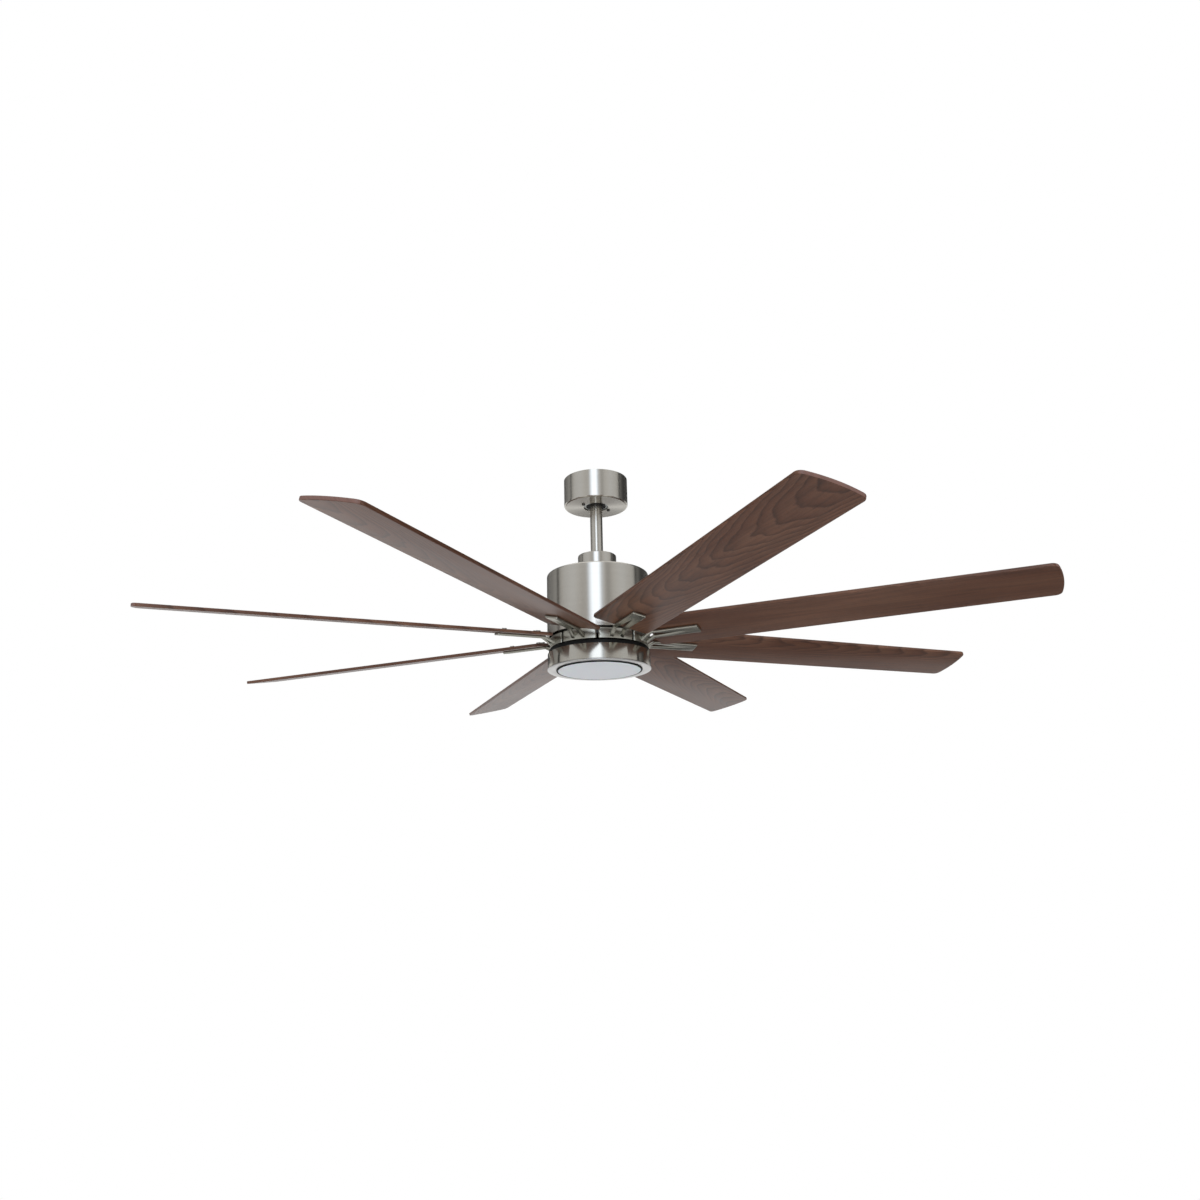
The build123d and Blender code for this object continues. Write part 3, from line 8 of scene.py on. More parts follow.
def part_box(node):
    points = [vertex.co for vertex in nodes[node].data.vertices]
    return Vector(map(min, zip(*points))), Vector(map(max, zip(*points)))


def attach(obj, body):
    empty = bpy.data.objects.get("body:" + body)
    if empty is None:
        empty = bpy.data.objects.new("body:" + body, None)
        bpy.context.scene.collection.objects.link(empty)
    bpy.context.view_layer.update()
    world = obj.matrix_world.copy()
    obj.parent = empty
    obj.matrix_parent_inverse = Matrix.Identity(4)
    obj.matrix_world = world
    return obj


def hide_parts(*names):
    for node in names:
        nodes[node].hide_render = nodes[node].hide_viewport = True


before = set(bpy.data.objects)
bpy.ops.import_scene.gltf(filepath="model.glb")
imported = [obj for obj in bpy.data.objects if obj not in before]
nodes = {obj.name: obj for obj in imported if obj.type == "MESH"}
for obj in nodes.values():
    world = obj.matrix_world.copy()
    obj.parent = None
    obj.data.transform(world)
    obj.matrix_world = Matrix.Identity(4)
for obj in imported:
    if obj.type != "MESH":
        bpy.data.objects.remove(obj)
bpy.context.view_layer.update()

# ---------------------------------------------------------------- sizes, in metres

MM = 0.001
BLADE_COUNT = 8
BLADE_PITCH = math.radians(13.0)
BLADE_ROOT = 120 * MM
BLADE_ROOT_HALF = 61 * MM
BLADE_TIP_HALF = 57 * MM
BLADE_TIP_BULGE = 7.5 * MM
BLADE_CORNER = 10 * MM
BLADE_THICKNESS = 6.5 * MM
BLADE_EDGE = 1.3 * MM
TONGUE_START = 124 * MM
TONGUE_END = 225 * MM
TONGUE_HALF = 14.5 * MM
TONGUE_THICKNESS = 5.5 * MM
TONGUE_CORNER = 3 * MM
WINDOW_HALF = 6 * MM
WINDOW_END = 188 * MM
PRONG_ROOT = Vector((101.5, 11, -376.58)) * MM
PRONG_SIZE = 9 * MM
BEND_REACH = 2 * MM  # from the tongue to where a prong bends down
BEND_DROP = 0.6 * MM
HALFWAY_GROWTH = 1.2  # how much thicker a prong is halfway down than at its bend
FOOT_RADII = (64 * MM, 104 * MM)
FOOT_WALL = 3.8 * MM
FOOT_ANGLE = math.radians(43)
FOOT_CORNER = 3 * MM
FOOT_PLATE = 4.5 * MM  # over the screws' pockets
SCREW_POCKET = 4.7 * MM
SCREW_HOLE = 2.55 * MM
ARM_SCREW_RADIUS = 84 * MM
ARM_SCREW_ANGLE = math.radians(9)
SCREW_PLACES = ((138, 10.25), (138, -10.25), (208, 0))  # millimetres along and across a blade
FLYWHEEL_HEIGHT = 11.6 * MM
BLADE_LIFT = 10.7 * MM  # the flywheel's underside to the middle of a blade's underside
WASHER = 1.2 * MM
WASHER_HOLE = 2.6 * MM
WASHER_RADIUS = 7 * MM
# Radius and height of the head, radius and length of the shank.
BLADE_SCREW = (4.8 * MM, 2.6 * MM, 2.4 * MM, 11.7 * MM)
CANOPY_SCREW = (3.6 * MM, 2.2 * MM, 1.9 * MM, 4 * MM)
CANOPY_SHEET = 1.2 * MM
CANOPY_HOLE = 27 * MM
CANOPY_CORNER = 3.5 * MM
CANOPY_SCREW_RADIUS = 33 * MM
CANOPY_SCREW_TURNS = (math.radians(14), math.radians(194))
HOUSING_SHEET = 1.4 * MM
HOUSING_HOLE = 7.8 * MM
HOUSING_CORNER = 4 * MM
HOUSING_LIP = 3.5 * MM  # how far the sheet turns in round the open end
COVER_SHEET = 1.2 * MM
COVER_HOLE = 14.2 * MM
COVER_CORNER = 2.5 * MM
ROD_WALL = 2.3 * MM
ADAPTER_SHEET = 2 * MM
ADAPTER_HOLE = 6.6 * MM
PAN_SHEET = 1.5 * MM
PAN_HOLE = 14 * MM
TRIM_OPENING = 90.9 * MM
TRIM_FACE = 1.6 * MM
SPIGOT_GAP = 0.05 * MM  # between the pan and the trim ring's wall inside it
SPIGOT_WALL = 2.4 * MM
LENS_FACE = 87.2 * MM
LENS_WALL = 2.5 * MM
LENS_FLANGE = 2 * MM
# A black ring in the gap round the lens, painted shade for the dark gap between the lens and the trim ring.
SHADE_RING_INNER = 87.25 * MM
SHADE_RING_OUTER = 90.85 * MM
SHADE_RING_SHOULDER = 90.2 * MM
SHADE_RING_HIDDEN = 1.5 * MM  # inside the trim ring
SHADE_RING_STAND = 0.6 * MM  # below the trim ring, at the ring's rim
SHADE_RING_BACK = 0.3 * MM  # behind the lens's face
ROUND_STEPS = 160  # edges round a turned piece
TINY = 1e-6  # nearer than this counts as the same place

# Where each blade's veneer is cut: the way its arches point, and metres along and across the figure.
VENEER_CUTS = (
    (1, 0.3, 0.045), (-1, 1.9, 0.02), (1, 3.1, -0.01), (1, 4.7, 0.06), (-1, 6.2, -0.05), (-1, 7.9, 0.03),
    (-1, 9.0, 0.004), (1, 11.3, 0.14),
)
VENEER_LIFT = 22 * MM  # taken off every distance across


# ---------------------------------------------------------------- modelling helpers


def start_mesh():
    """Nothing is selected when a new piece is begun."""
    if bpy.context.object and bpy.context.object.mode != "OBJECT":
        bpy.ops.object.mode_set(mode="OBJECT")
    bpy.ops.object.select_all(action="DESELECT")


def select_only(piece):
    start_mesh()
    piece.select_set(True)
    bpy.context.view_layer.objects.active = piece


def apply_place(piece):
    select_only(piece)
    bpy.ops.object.transform_apply(location=True, rotation=True, scale=True)


def smooth(piece, angle=35):
    select_only(piece)
    bpy.ops.object.shade_smooth_by_angle(angle=math.radians(angle))


def bevelled(piece, width, segments=3, angle=30):
    """Rounds every edge sharper than the angle and applies the result."""
    modifier = piece.modifiers.new("edges", "BEVEL")
    modifier.width = width
    modifier.segments = segments
    modifier.limit_method = "ANGLE"
    modifier.angle_limit = math.radians(angle)
    modifier.harden_normals = False
    select_only(piece)
    bpy.ops.object.modifier_apply(modifier=modifier.name)


def outward(piece):
    """Merges doubles and points every face outwards."""
    select_only(piece)
    bpy.ops.object.mode_set(mode="EDIT")
    bpy.ops.mesh.select_all(action="SELECT")
    bpy.ops.mesh.remove_doubles(threshold=1e-6)
    bpy.ops.mesh.normals_make_consistent(inside=False)
    bpy.ops.object.mode_set(mode="OBJECT")


def turned(name, profile, steps=ROUND_STEPS, edge=0.4 * MM, segments=2, closed=True):
    """A piece turned on the fan's axis, from an outline of (radius, height) points.

    A circle is extruded from ring to ring round the outline. A closed outline's last ring joins its first. An
    open one starts and ends beside the axis, and both ends are filled.
    """
    start_mesh()
    radius, height = profile[0]
    bpy.ops.mesh.primitive_circle_add(
        vertices=steps, radius=radius, fill_type="NOTHING" if closed else "NGON", location=(0, 0, height)
    )
    piece = bpy.context.object
    piece.name = piece.data.name = name
    bpy.ops.object.transform_apply(location=True)
    bpy.ops.object.mode_set(mode="EDIT")
    bpy.ops.mesh.select_mode(type="VERT")
    bpy.ops.mesh.select_all(action="SELECT")
    for next_radius, next_height in profile[1:] + (profile[:1] if closed else []):
        bpy.ops.mesh.extrude_region_move(TRANSFORM_OT_translate={"value": (0, 0, next_height - height)})
        scale = next_radius / radius
        bpy.ops.transform.resize(value=(scale, scale, 1), center_override=(0, 0, next_height))
        radius, height = next_radius, next_height
    bpy.ops.object.mode_set(mode="OBJECT")
    outward(piece)
    if edge:
        bevelled(piece, edge, segments)
    smooth(piece)
    return piece


def select_where(piece, test, mode="EDGE"):
    """Selects the vertices that pass the test, and what lies between them in the given mode."""
    bpy.ops.mesh.select_mode(type="VERT")
    bpy.ops.mesh.select_all(action="DESELECT")
    mesh = bmesh.from_edit_mesh(piece.data)
    for v in mesh.verts:
        v.select = test(v.co)
    mesh.select_flush_mode()
    bmesh.update_edit_mesh(piece.data)
    if mode != "VERT":
        bpy.ops.mesh.select_mode(type=mode)


def select_faces(piece, test):
    """In edit mode, selects the faces that pass the test."""
    bpy.ops.mesh.select_mode(type="FACE")
    bpy.ops.mesh.select_all(action="DESELECT")
    mesh = bmesh.from_edit_mesh(piece.data)
    for face in mesh.faces:
        face.select = test(face)
    bmesh.update_edit_mesh(piece.data)


def middle_turn(piece):
    """The bearing of the middle of a piece that was spun from +X."""
    bearings = [math.atan2(v.co.y, v.co.x) for v in piece.data.vertices]
    return (min(bearings) + max(bearings)) / 2


def cut(piece, tool):
    """Takes the tool's volume out of the piece and removes the tool."""
    modifier = piece.modifiers.new("cut", "BOOLEAN")
    modifier.operation = "DIFFERENCE"
    modifier.solver = "EXACT"
    modifier.object = tool
    select_only(piece)
    bpy.ops.object.modifier_apply(modifier=modifier.name)
    bpy.data.objects.remove(tool)


def cut_round(piece, x, y, radius, low, top):
    """Bores an upright hole in the piece from low to top."""
    start_mesh()
    middle = (x, y, (low + top) / 2)
    bpy.ops.mesh.primitive_cylinder_add(vertices=24, radius=radius, depth=top - low, location=middle)
    drill = bpy.context.object
    bpy.ops.object.transform_apply(location=True)
    cut(piece, drill)


def joined(first, *others):
    """Joins the other pieces into the first."""
    start_mesh()
    for piece in (first, *others):
        piece.select_set(True)
    bpy.context.view_layer.objects.active = first
    bpy.ops.object.join()


def twin(pattern, name):
    """A copy of the pattern with its own mesh."""
    piece = pattern.copy()
    piece.data = pattern.data.copy()
    piece.name = piece.data.name = name
    bpy.context.collection.objects.link(piece)
    return piece


def copies(pattern, name, places):
    """The pattern repeated at each place, joined into one piece. The pattern itself is removed."""
    made = []
    for place in places:
        one = twin(pattern, name)
        one.data.transform(place)
        made.append(one)
    bpy.data.objects.remove(pattern)
    joined(*made)
    made[0].name = made[0].data.name = name
    return made[0]


def stands_for(piece, body, slot, *cad_nodes):
    """The piece rides on its body and hides the CAD nodes it stands for. The slot is not used."""
    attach(piece, body)
    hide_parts(*cad_nodes)


# ---------------------------------------------------------------- material helpers


def srgb(hex_colour):
    """A hex colour as linear red, green, blue and full alpha."""
    channels = [int(hex_colour[i : i + 2], 16) / 255 for i in (1, 3, 5)]
    return tuple(c / 12.92 if c <= 0.04045 else ((c + 0.055) / 1.055) ** 2.4 for c in channels) + (1.0,)


def shade(hex_colour, factor):
    """The same colour made lighter or darker, as hex."""
    channels = [min(255, round(int(hex_colour[i : i + 2], 16) * factor)) for i in (1, 3, 5)]
    return "#" + "".join(f"{c:02x}" for c in channels)


def add(tree, kind, settings=None, values=None, links=None):
    """Adds a node, sets its properties and socket values, and links its inputs."""
    node = tree.nodes.new(kind)
    for key, value in (settings or {}).items():
        setattr(node, key, value)
    for key, value in (values or {}).items():
        node.inputs[key].default_value = value
    for key, socket in (links or {}).items():
        tree.links.new(socket, node.inputs[key])
    return node


def new_material(name, values):
    """A material with one Principled shader, whose constant values sit on its own sockets."""
    material = bpy.data.materials.new(name)
    material.use_nodes = True
    tree = material.node_tree
    shader = tree.nodes["Principled BSDF"]
    for key, value in values.items():
        shader.inputs[key].default_value = value
    return material, tree, shader


def ramp(tree, factor, stops):
    """A colour ramp from (position, colour) stops; a plain number stands for a grey."""
    node = add(tree, "ShaderNodeValToRGB", links={"Fac": factor})
    elements = node.color_ramp.elements
    while len(elements) < len(stops):
        elements.new(0.5)
    for element, (position, colour) in zip(elements, stops):
        element.position = position
        element.color = srgb(colour) if isinstance(colour, str) else (colour, colour, colour, 1.0)
    return node


def mixed(tree, blend, amount, first, second):
    """Two colours blended. Sockets 6 and 7 of the node are its two colours, and output 2 the result."""
    node = add(tree, "ShaderNodeMix", {"data_type": "RGBA", "blend_type": blend})
    for socket, source in ((0, amount), (6, first), (7, second)):
        if isinstance(source, (float, tuple)):
            node.inputs[socket].default_value = source
        else:
            tree.links.new(source, node.inputs[socket])
    return node.outputs[2]


def paint(piece, material):
    piece.data.materials.clear()
    piece.data.materials.append(material)


# ---------------------------------------------------------------- materials


def brushed_nickel(name, colour, roughness, line_mm=0.5, depth=0.06):
    """Brushed nickel plate, its brush lines run round the piece as on a lathe.

    The lines pull every reflection out along the axis, so the eye sees upright soft bands.
    """
    material, tree, shader = new_material(
        name, {"Base Color": srgb(colour), "Metallic": 1.0, "Roughness": roughness, "Anisotropic": 0.95,
               "Anisotropic Rotation": 0.25}
    )
    place = add(tree, "ShaderNodeTexCoord")
    lines = add(tree, "ShaderNodeMapping", values={"Scale": (6, 6, 1000 / line_mm)},
                links={"Vector": place.outputs["Object"]})
    streaks = add(tree, "ShaderNodeTexNoise", values={"Scale": 1.0, "Detail": 3.0, "Roughness": 0.6},
                  links={"Vector": lines.outputs["Vector"]})
    rough = add(tree, "ShaderNodeMapRange", values={"To Min": roughness - 0.02, "To Max": roughness + 0.03},
                links={"Value": streaks.outputs["Fac"]})
    tint = ramp(tree, streaks.outputs["Fac"], [(0.3, shade(colour, 0.97)), (0.7, shade(colour, 1.02))])
    bump = add(tree, "ShaderNodeBump", values={"Strength": depth, "Distance": 0.0002},
               links={"Height": streaks.outputs["Fac"]})
    tangent = add(tree, "ShaderNodeTangent", {"direction_type": "RADIAL", "axis": "Z"})
    tree.links.new(tint.outputs["Color"], shader.inputs["Base Color"])
    tree.links.new(rough.outputs["Result"], shader.inputs["Roughness"])
    tree.links.new(bump.outputs["Normal"], shader.inputs["Normal"])
    tree.links.new(tangent.outputs["Tangent"], shader.inputs["Tangent"])
    return material


def plain_finish(name, colour, roughness, metallic=0.0, grain_mm=0.4, depth=0.05, spread=0.06, specular=0.5):
    """A moulded, cast, plated or painted surface: even colour with a fine grain in tone, gloss and height."""
    material, tree, shader = new_material(
        name, {"Base Color": srgb(colour), "Metallic": metallic, "Roughness": roughness,
               "Specular IOR Level": specular}
    )
    place = add(tree, "ShaderNodeTexCoord")
    grain = add(tree, "ShaderNodeTexNoise", values={"Scale": 1000 / grain_mm, "Detail": 2.0},
                links={"Vector": place.outputs["Object"]})
    clouds = add(tree, "ShaderNodeTexNoise", values={"Scale": 25.0, "Detail": 3.0},
                 links={"Vector": place.outputs["Object"]})
    tint = ramp(tree, clouds.outputs["Fac"],
                [(0.35, shade(colour, 1 - spread)), (0.65, shade(colour, 1 + spread))])
    rough = add(tree, "ShaderNodeMapRange",
                values={"To Min": max(0.02, roughness - 0.06), "To Max": roughness + 0.06},
                links={"Value": grain.outputs["Fac"]})
    bump = add(tree, "ShaderNodeBump", values={"Strength": depth, "Distance": 0.0002},
               links={"Height": grain.outputs["Fac"]})
    tree.links.new(tint.outputs["Color"], shader.inputs["Base Color"])
    tree.links.new(rough.outputs["Result"], shader.inputs["Roughness"])
    tree.links.new(bump.outputs["Normal"], shader.inputs["Normal"])
    return material


def walnut_veneer():
    """Walnut veneer under satin lacquer: long cathedral figure, dark growth lines and fine open pores.

    The pattern follows each blade's own UV map, in metres along and across the blade.
    """
    material, tree, shader = new_material("walnut_veneer", {"Roughness": 0.36, "Specular IOR Level": 0.42})
    place = add(tree, "ShaderNodeTexCoord")
    # Slow waves across the blade bend the growth lines.
    slow = add(tree, "ShaderNodeMapping", values={"Scale": (2.2, 11.0, 1.0)},
               links={"Vector": place.outputs["UV"]})
    drift = add(tree, "ShaderNodeTexNoise", values={"Scale": 1.0, "Detail": 2.0},
                links={"Vector": slow.outputs["Vector"]})
    bent = add(tree, "ShaderNodeVectorMath", {"operation": "MULTIPLY_ADD"}, {1: (0.0, 0.045, 0.0)},
               {0: drift.outputs["Color"], 2: place.outputs["UV"]})
    # Growth rings cut at a slant: a line every 60 mm down the middle of the figure, 6 mm near its sides.
    along = add(tree, "ShaderNodeSeparateXYZ", links={"Vector": bent.outputs["Vector"]})
    aside = add(tree, "ShaderNodeMath", {"operation": "MULTIPLY"},
                links={0: along.outputs["Y"], 1: along.outputs["Y"]})
    spread = add(tree, "ShaderNodeMath", {"operation": "MULTIPLY"}, {1: 85.0}, {0: aside.outputs["Value"]})
    arch = add(tree, "ShaderNodeMath", {"operation": "ADD"},
               links={0: along.outputs["X"], 1: spread.outputs["Value"]})
    years = add(tree, "ShaderNodeMath", {"operation": "MULTIPLY_ADD"}, {1: 16.0}, {0: arch.outputs["Value"]})
    uneven = add(tree, "ShaderNodeMapping", values={"Scale": (6.0, 24.0, 1.0)},
                 links={"Vector": place.outputs["UV"]})
    wander = add(tree, "ShaderNodeTexNoise", values={"Scale": 1.0, "Detail": 4.0},
                 links={"Vector": uneven.outputs["Vector"]})
    waver = add(tree, "ShaderNodeMath", {"operation": "MULTIPLY"}, {1: 2.2}, {0: wander.outputs["Fac"]})
    tree.links.new(waver.outputs["Value"], years.inputs[2])
    rings = add(tree, "ShaderNodeMath", {"operation": "FRACT"}, links={0: years.outputs["Value"]})
    # The fibre streaks are drawn some 6 mm wide, coarser than real ones, so that they show.
    fine = add(tree, "ShaderNodeMapping", values={"Scale": (5.0, 170.0, 1.0)},
               links={"Vector": bent.outputs["Vector"]})
    fibre = add(tree, "ShaderNodeTexNoise", values={"Scale": 1.0, "Detail": 4.0, "Roughness": 0.65},
                links={"Vector": fine.outputs["Vector"]})
    short = add(tree, "ShaderNodeMapping", values={"Scale": (60.0, 1500.0, 1.0)},
                links={"Vector": place.outputs["UV"]})
    pores = add(tree, "ShaderNodeTexNoise", values={"Scale": 1.0, "Detail": 1.0},
                links={"Vector": short.outputs["Vector"]})
    broad = add(tree, "ShaderNodeMapping", values={"Scale": (3.0, 14.0, 1.0)},
                links={"Vector": bent.outputs["Vector"]})
    patch = add(tree, "ShaderNodeTexNoise", values={"Scale": 1.0, "Detail": 1.0},
                links={"Vector": broad.outputs["Vector"]})
    figure = ramp(tree, rings.outputs["Value"], [
        (0.0, "#835d47"), (0.4, "#7b543f"), (0.7, "#714b37"), (0.88, "#5a3b29"), (0.96, "#765140"),
        (1.0, "#835d47")
    ])
    grain = ramp(tree, fibre.outputs["Fac"], [(0.3, 0.36), (0.5, 0.78), (0.7, 1.0)])
    tone = ramp(tree, patch.outputs["Fac"], [(0.32, "#c8b0a0"), (0.68, "#ffffff")])
    pore_mask = ramp(tree, pores.outputs["Fac"], [(0.30, 0.55), (0.42, 1.0)])
    wood = mixed(tree, "MULTIPLY", 0.75, figure.outputs["Color"], grain.outputs["Color"])
    toned = mixed(tree, "MULTIPLY", 0.8, wood, tone.outputs["Color"])
    pored = mixed(tree, "MULTIPLY", 0.7, toned, pore_mask.outputs["Color"])
    # The cut ends get a plainer, redder colour that stands in for the light they catch: a painted highlight.
    side = add(tree, "ShaderNodeAttribute", {"attribute_name": "lit_end_mask"})
    painted_end_light = mixed(tree, "MULTIPLY", 0.5, (0.235, 0.122, 0.095, 1.0), grain.outputs["Color"])
    finished = mixed(tree, "MIX", side.outputs["Fac"], pored, painted_end_light)
    rough = add(tree, "ShaderNodeMapRange", values={"To Min": 0.30, "To Max": 0.44},
                links={"Value": fibre.outputs["Fac"]})
    bump = add(tree, "ShaderNodeBump", values={"Strength": 0.25, "Distance": 0.0002},
               links={"Height": pore_mask.outputs["Color"]})
    tree.links.new(finished, shader.inputs["Base Color"])
    tree.links.new(rough.outputs["Result"], shader.inputs["Roughness"])
    tree.links.new(bump.outputs["Normal"], shader.inputs["Normal"])
    return material


spun_nickel = brushed_nickel("spun_brushed_nickel", "#c6c2b9", 0.24, line_mm=0.3, depth=0.015)
ring_nickel = brushed_nickel("light_ring_brushed_nickel", "#bcb8ae", 0.15, line_mm=0.3, depth=0.01)
satin_nickel = plain_finish("satin_nickel", "#d3d2d0", 0.32, 1.0, grain_mm=0.5, spread=0.02)
screw_nickel = plain_finish("nickel_plated_screw", "#8f8d88", 0.3, 1.0, grain_mm=0.5, spread=0.02)
# The screws' nickel painted darker for the screws under the canopy: painted shade.
shaded_screw_nickel = plain_finish("screw_nickel_painted_dark", "#55534f", 0.36, 1.0, grain_mm=0.5, spread=0.02)
arm_nickel = plain_finish("die_cast_satin_nickel", "#aaa89d", 0.28, 1.0, grain_mm=0.6, spread=0.03)
black_enamel = plain_finish("black_enamel", "#060606", 0.5, 0.0, grain_mm=0.3, specular=0.25)
black_nylon = plain_finish("black_nylon", "#0b0b0b", 0.6, 0.0, grain_mm=0.5, specular=0.25)
walnut = walnut_veneer()
zinc_plate = plain_finish("zinc_plated_steel", "#b9bdb9", 0.35, 1.0, grain_mm=1.2, spread=0.06)
bright_steel = plain_finish("bright_steel", "#c9c9c8", 0.2, 1.0, grain_mm=0.5, spread=0.02)
black_oxide = plain_finish("black_oxide_steel", "#1a1a1b", 0.4, 0.8)
cast_zinc = plain_finish("die_cast_zinc", "#9a9a98", 0.45, 1.0, grain_mm=0.8)
cast_aluminium = plain_finish("cast_aluminium", "#a9aaa9", 0.5, 1.0, grain_mm=0.9)
sheet_aluminium = plain_finish("mill_finish_aluminium", "#c7c8ca", 0.35, 1.0, grain_mm=0.7, spread=0.03)
white_abs = plain_finish("white_abs", "#e4e4df", 0.45, grain_mm=0.6, spread=0.01)
black_abs = plain_finish("black_abs", "#181818", 0.5, grain_mm=0.6)
orange_abs = plain_finish("orange_polypropylene", "#d9772b", 0.45, grain_mm=0.6, spread=0.03)
lead_pvc = plain_finish("black_pvc", "#1b1b1d", 0.5, grain_mm=0.5)
lamination = plain_finish("silicon_steel_laminations", "#5c5c60", 0.45, 0.9, grain_mm=0.5)
copper_winding = plain_finish("enamelled_copper", "#b5673a", 0.3, 1.0, grain_mm=0.6)
turned_brass = plain_finish("turned_brass", "#c9a35c", 0.28, 1.0, grain_mm=0.5, spread=0.03)
solder_mask = plain_finish("white_solder_mask", "#ecebe6", 0.4, grain_mm=0.5, spread=0.01)
phosphor = plain_finish("led_phosphor", "#e9d35c", 0.5, grain_mm=0.3, spread=0.02)
magnet_plate = plain_finish("nickel_plated_magnet", "#8b8b8c", 0.3, 1.0, grain_mm=0.5)
satin_black = plain_finish("satin_black_casting", "#161515", 0.45, 0.0, grain_mm=0.8)


def opal_acrylic():
    """Opal acrylic, frosted on its face: an even, slightly cool white that blurs what lies behind it."""
    material, tree, shader = new_material(
        "opal_acrylic", {"Base Color": srgb("#f4f6fb"), "Roughness": 0.5, "IOR": 1.49,
                         "Subsurface Weight": 0.2, "Subsurface Scale": 0.004}
    )
    place = add(tree, "ShaderNodeTexCoord")
    frost = add(tree, "ShaderNodeTexNoise", values={"Scale": 2500.0, "Detail": 2.0},
                links={"Vector": place.outputs["Object"]})
    clouds = add(tree, "ShaderNodeTexNoise", values={"Scale": 12.0, "Detail": 1.0},
                 links={"Vector": place.outputs["Object"]})
    tint = ramp(tree, clouds.outputs["Fac"], [(0.35, "#f2f5fa"), (0.65, "#f6f8fd")])
    bump = add(tree, "ShaderNodeBump", values={"Strength": 0.08, "Distance": 0.0002},
               links={"Height": frost.outputs["Fac"]})
    tree.links.new(tint.outputs["Color"], shader.inputs["Base Color"])
    tree.links.new(bump.outputs["Normal"], shader.inputs["Normal"])
    return material


opal = opal_acrylic()

cad_finishes = {
    zinc_plate: ["hanger_bracket"],
    bright_steel: [
        "ball_cross_pin", "clevis_pin", "hairpin", "coupling_screws", "motor_shaft", "shaft_nut",
        "inner_screws", "bearing_inner_races", "bearing_outer_races", "bearing_balls", "rotor_screws",
        "arm_screws",
    ],
    satin_nickel: ["canopy_screws", "blade_screws", "blade_washers"],
    white_abs: ["remote_receiver", "led_driver", "light_plug"],
    lead_pvc: ["supply_leads", "light_leads"],
    orange_abs: ["wire_connectors"],
    black_nylon: ["hanger_ball"],
    black_oxide: ["set_screws"],
    cast_zinc: ["coupling"],
    black_abs: ["motor_controller"],
    lamination: ["stator_core"],
    copper_winding: ["stator_coils"],
    sheet_aluminium: ["led_tray"],
    turned_brass: ["led_standoffs"],
    solder_mask: ["led_board"],
    phosphor: ["led_chips"],
    cast_aluminium: ["rotor_top_shell", "rotor_bottom_shell"],
    magnet_plate: ["rotor_magnets"],
    satin_black: ["flywheel"],
}
for finish, names in cad_finishes.items():
    for name in names:
        paint(nodes[name], finish)


# ---------------------------------------------------------------- turned shells


def shell_of_sheet(name, low, high, radius, wall, hole, edge, open_below, lip=0):
    """A drum of sheet metal with a round hole in its flat end, a rounded outer corner, and a lip or none."""
    if open_below:
        corner, rim, inside, lip_top = high, low, high - wall, low + wall
    else:
        corner, rim, inside, lip_top = low, high, low + wall, high - wall
    bore = radius - wall
    outline = [(radius, rim), (radius, corner), (hole, corner), (hole, inside), (bore, inside)]
    if lip:
        outline += [(bore, lip_top), (radius - lip, lip_top), (radius - lip, rim)]
    else:
        outline += [(bore, rim)]
    piece = turned(name, outline, edge=None)
    select_only(piece)
    bpy.ops.object.mode_set(mode="EDIT")
    select_where(piece, lambda co: abs(co.z - corner) < TINY and abs(co.xy.length - radius) < TINY)
    bpy.ops.mesh.bevel(offset=edge, segments=6, affect="EDGES")
    bpy.ops.object.mode_set(mode="OBJECT")
    bevelled(piece, 0.3 * MM, 2, angle=50)
    smooth(piece)
    return piece


low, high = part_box("canopy")
canopy = shell_of_sheet(
    "ceiling_canopy", low.z, high.z, high.x, CANOPY_SHEET, CANOPY_HOLE, CANOPY_CORNER, open_below=False
)
paint(canopy, spun_nickel)
stands_for(canopy, "ceiling_mount", "nickel", "canopy")

low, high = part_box("motor_housing")
housing = shell_of_sheet(
    "motor_drum", low.z, high.z, high.x, HOUSING_SHEET, HOUSING_HOLE, HOUSING_CORNER, open_below=True,
    lip=HOUSING_LIP,
)
paint(housing, spun_nickel)
stands_for(housing, "hanging_body", "nickel", "motor_housing")

low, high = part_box("coupling_cover")
cover = shell_of_sheet(
    "coupling_bell", low.z, high.z, high.x, COVER_SHEET, COVER_HOLE, COVER_CORNER, open_below=True
)
paint(cover, spun_nickel)
stands_for(cover, "hanging_body", "nickel", "coupling_cover")

low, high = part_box("downrod")
bore = high.x - ROD_WALL
rod = turned("downrod_pipe", [(high.x, high.z), (high.x, low.z), (bore, low.z), (bore, high.z)], steps=64)
paint(rod, spun_nickel)
stands_for(rod, "hanging_body", "nickel", "downrod")


def dish(name, node, hole, sheet, edge):
    """A round dish, open below, with a hole in the middle of its top."""
    low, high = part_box(node)
    wall, ceiling = high.x - sheet, high.z - sheet
    outline = [
        (hole, high.z), (high.x, high.z), (high.x, low.z), (wall, low.z), (wall, ceiling), (hole, ceiling),
    ]
    return turned(name, outline, edge=edge)


adapter = dish("adapter_dish", "light_adapter", ADAPTER_HOLE, ADAPTER_SHEET, edge=0.4 * MM)
paint(adapter, black_enamel)
stands_for(adapter, "hanging_body", "black_paint", "light_adapter")

pan = dish("light_drum", "light_pan", PAN_HOLE, PAN_SHEET, edge=0.5 * MM)
paint(pan, ring_nickel)
stands_for(pan, "hanging_body", "nickel", "light_pan")

low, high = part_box("trim_ring")
trim_top = low.z + TRIM_FACE
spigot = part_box("light_pan")[1].x - PAN_SHEET - SPIGOT_GAP
spigot_bore = spigot - SPIGOT_WALL
trim_outline = [
    (TRIM_OPENING, trim_top),
    (TRIM_OPENING, low.z),
    (high.x, low.z),
    (high.x, trim_top),
    (spigot, trim_top),
    (spigot, high.z),
    (spigot_bore, high.z),
    (spigot_bore, trim_top),
]
trim = turned("trim_bezel", trim_outline, edge=0.45 * MM, segments=3)
paint(trim, satin_nickel)
stands_for(trim, "hanging_body", "nickel_satin", "trim_ring")

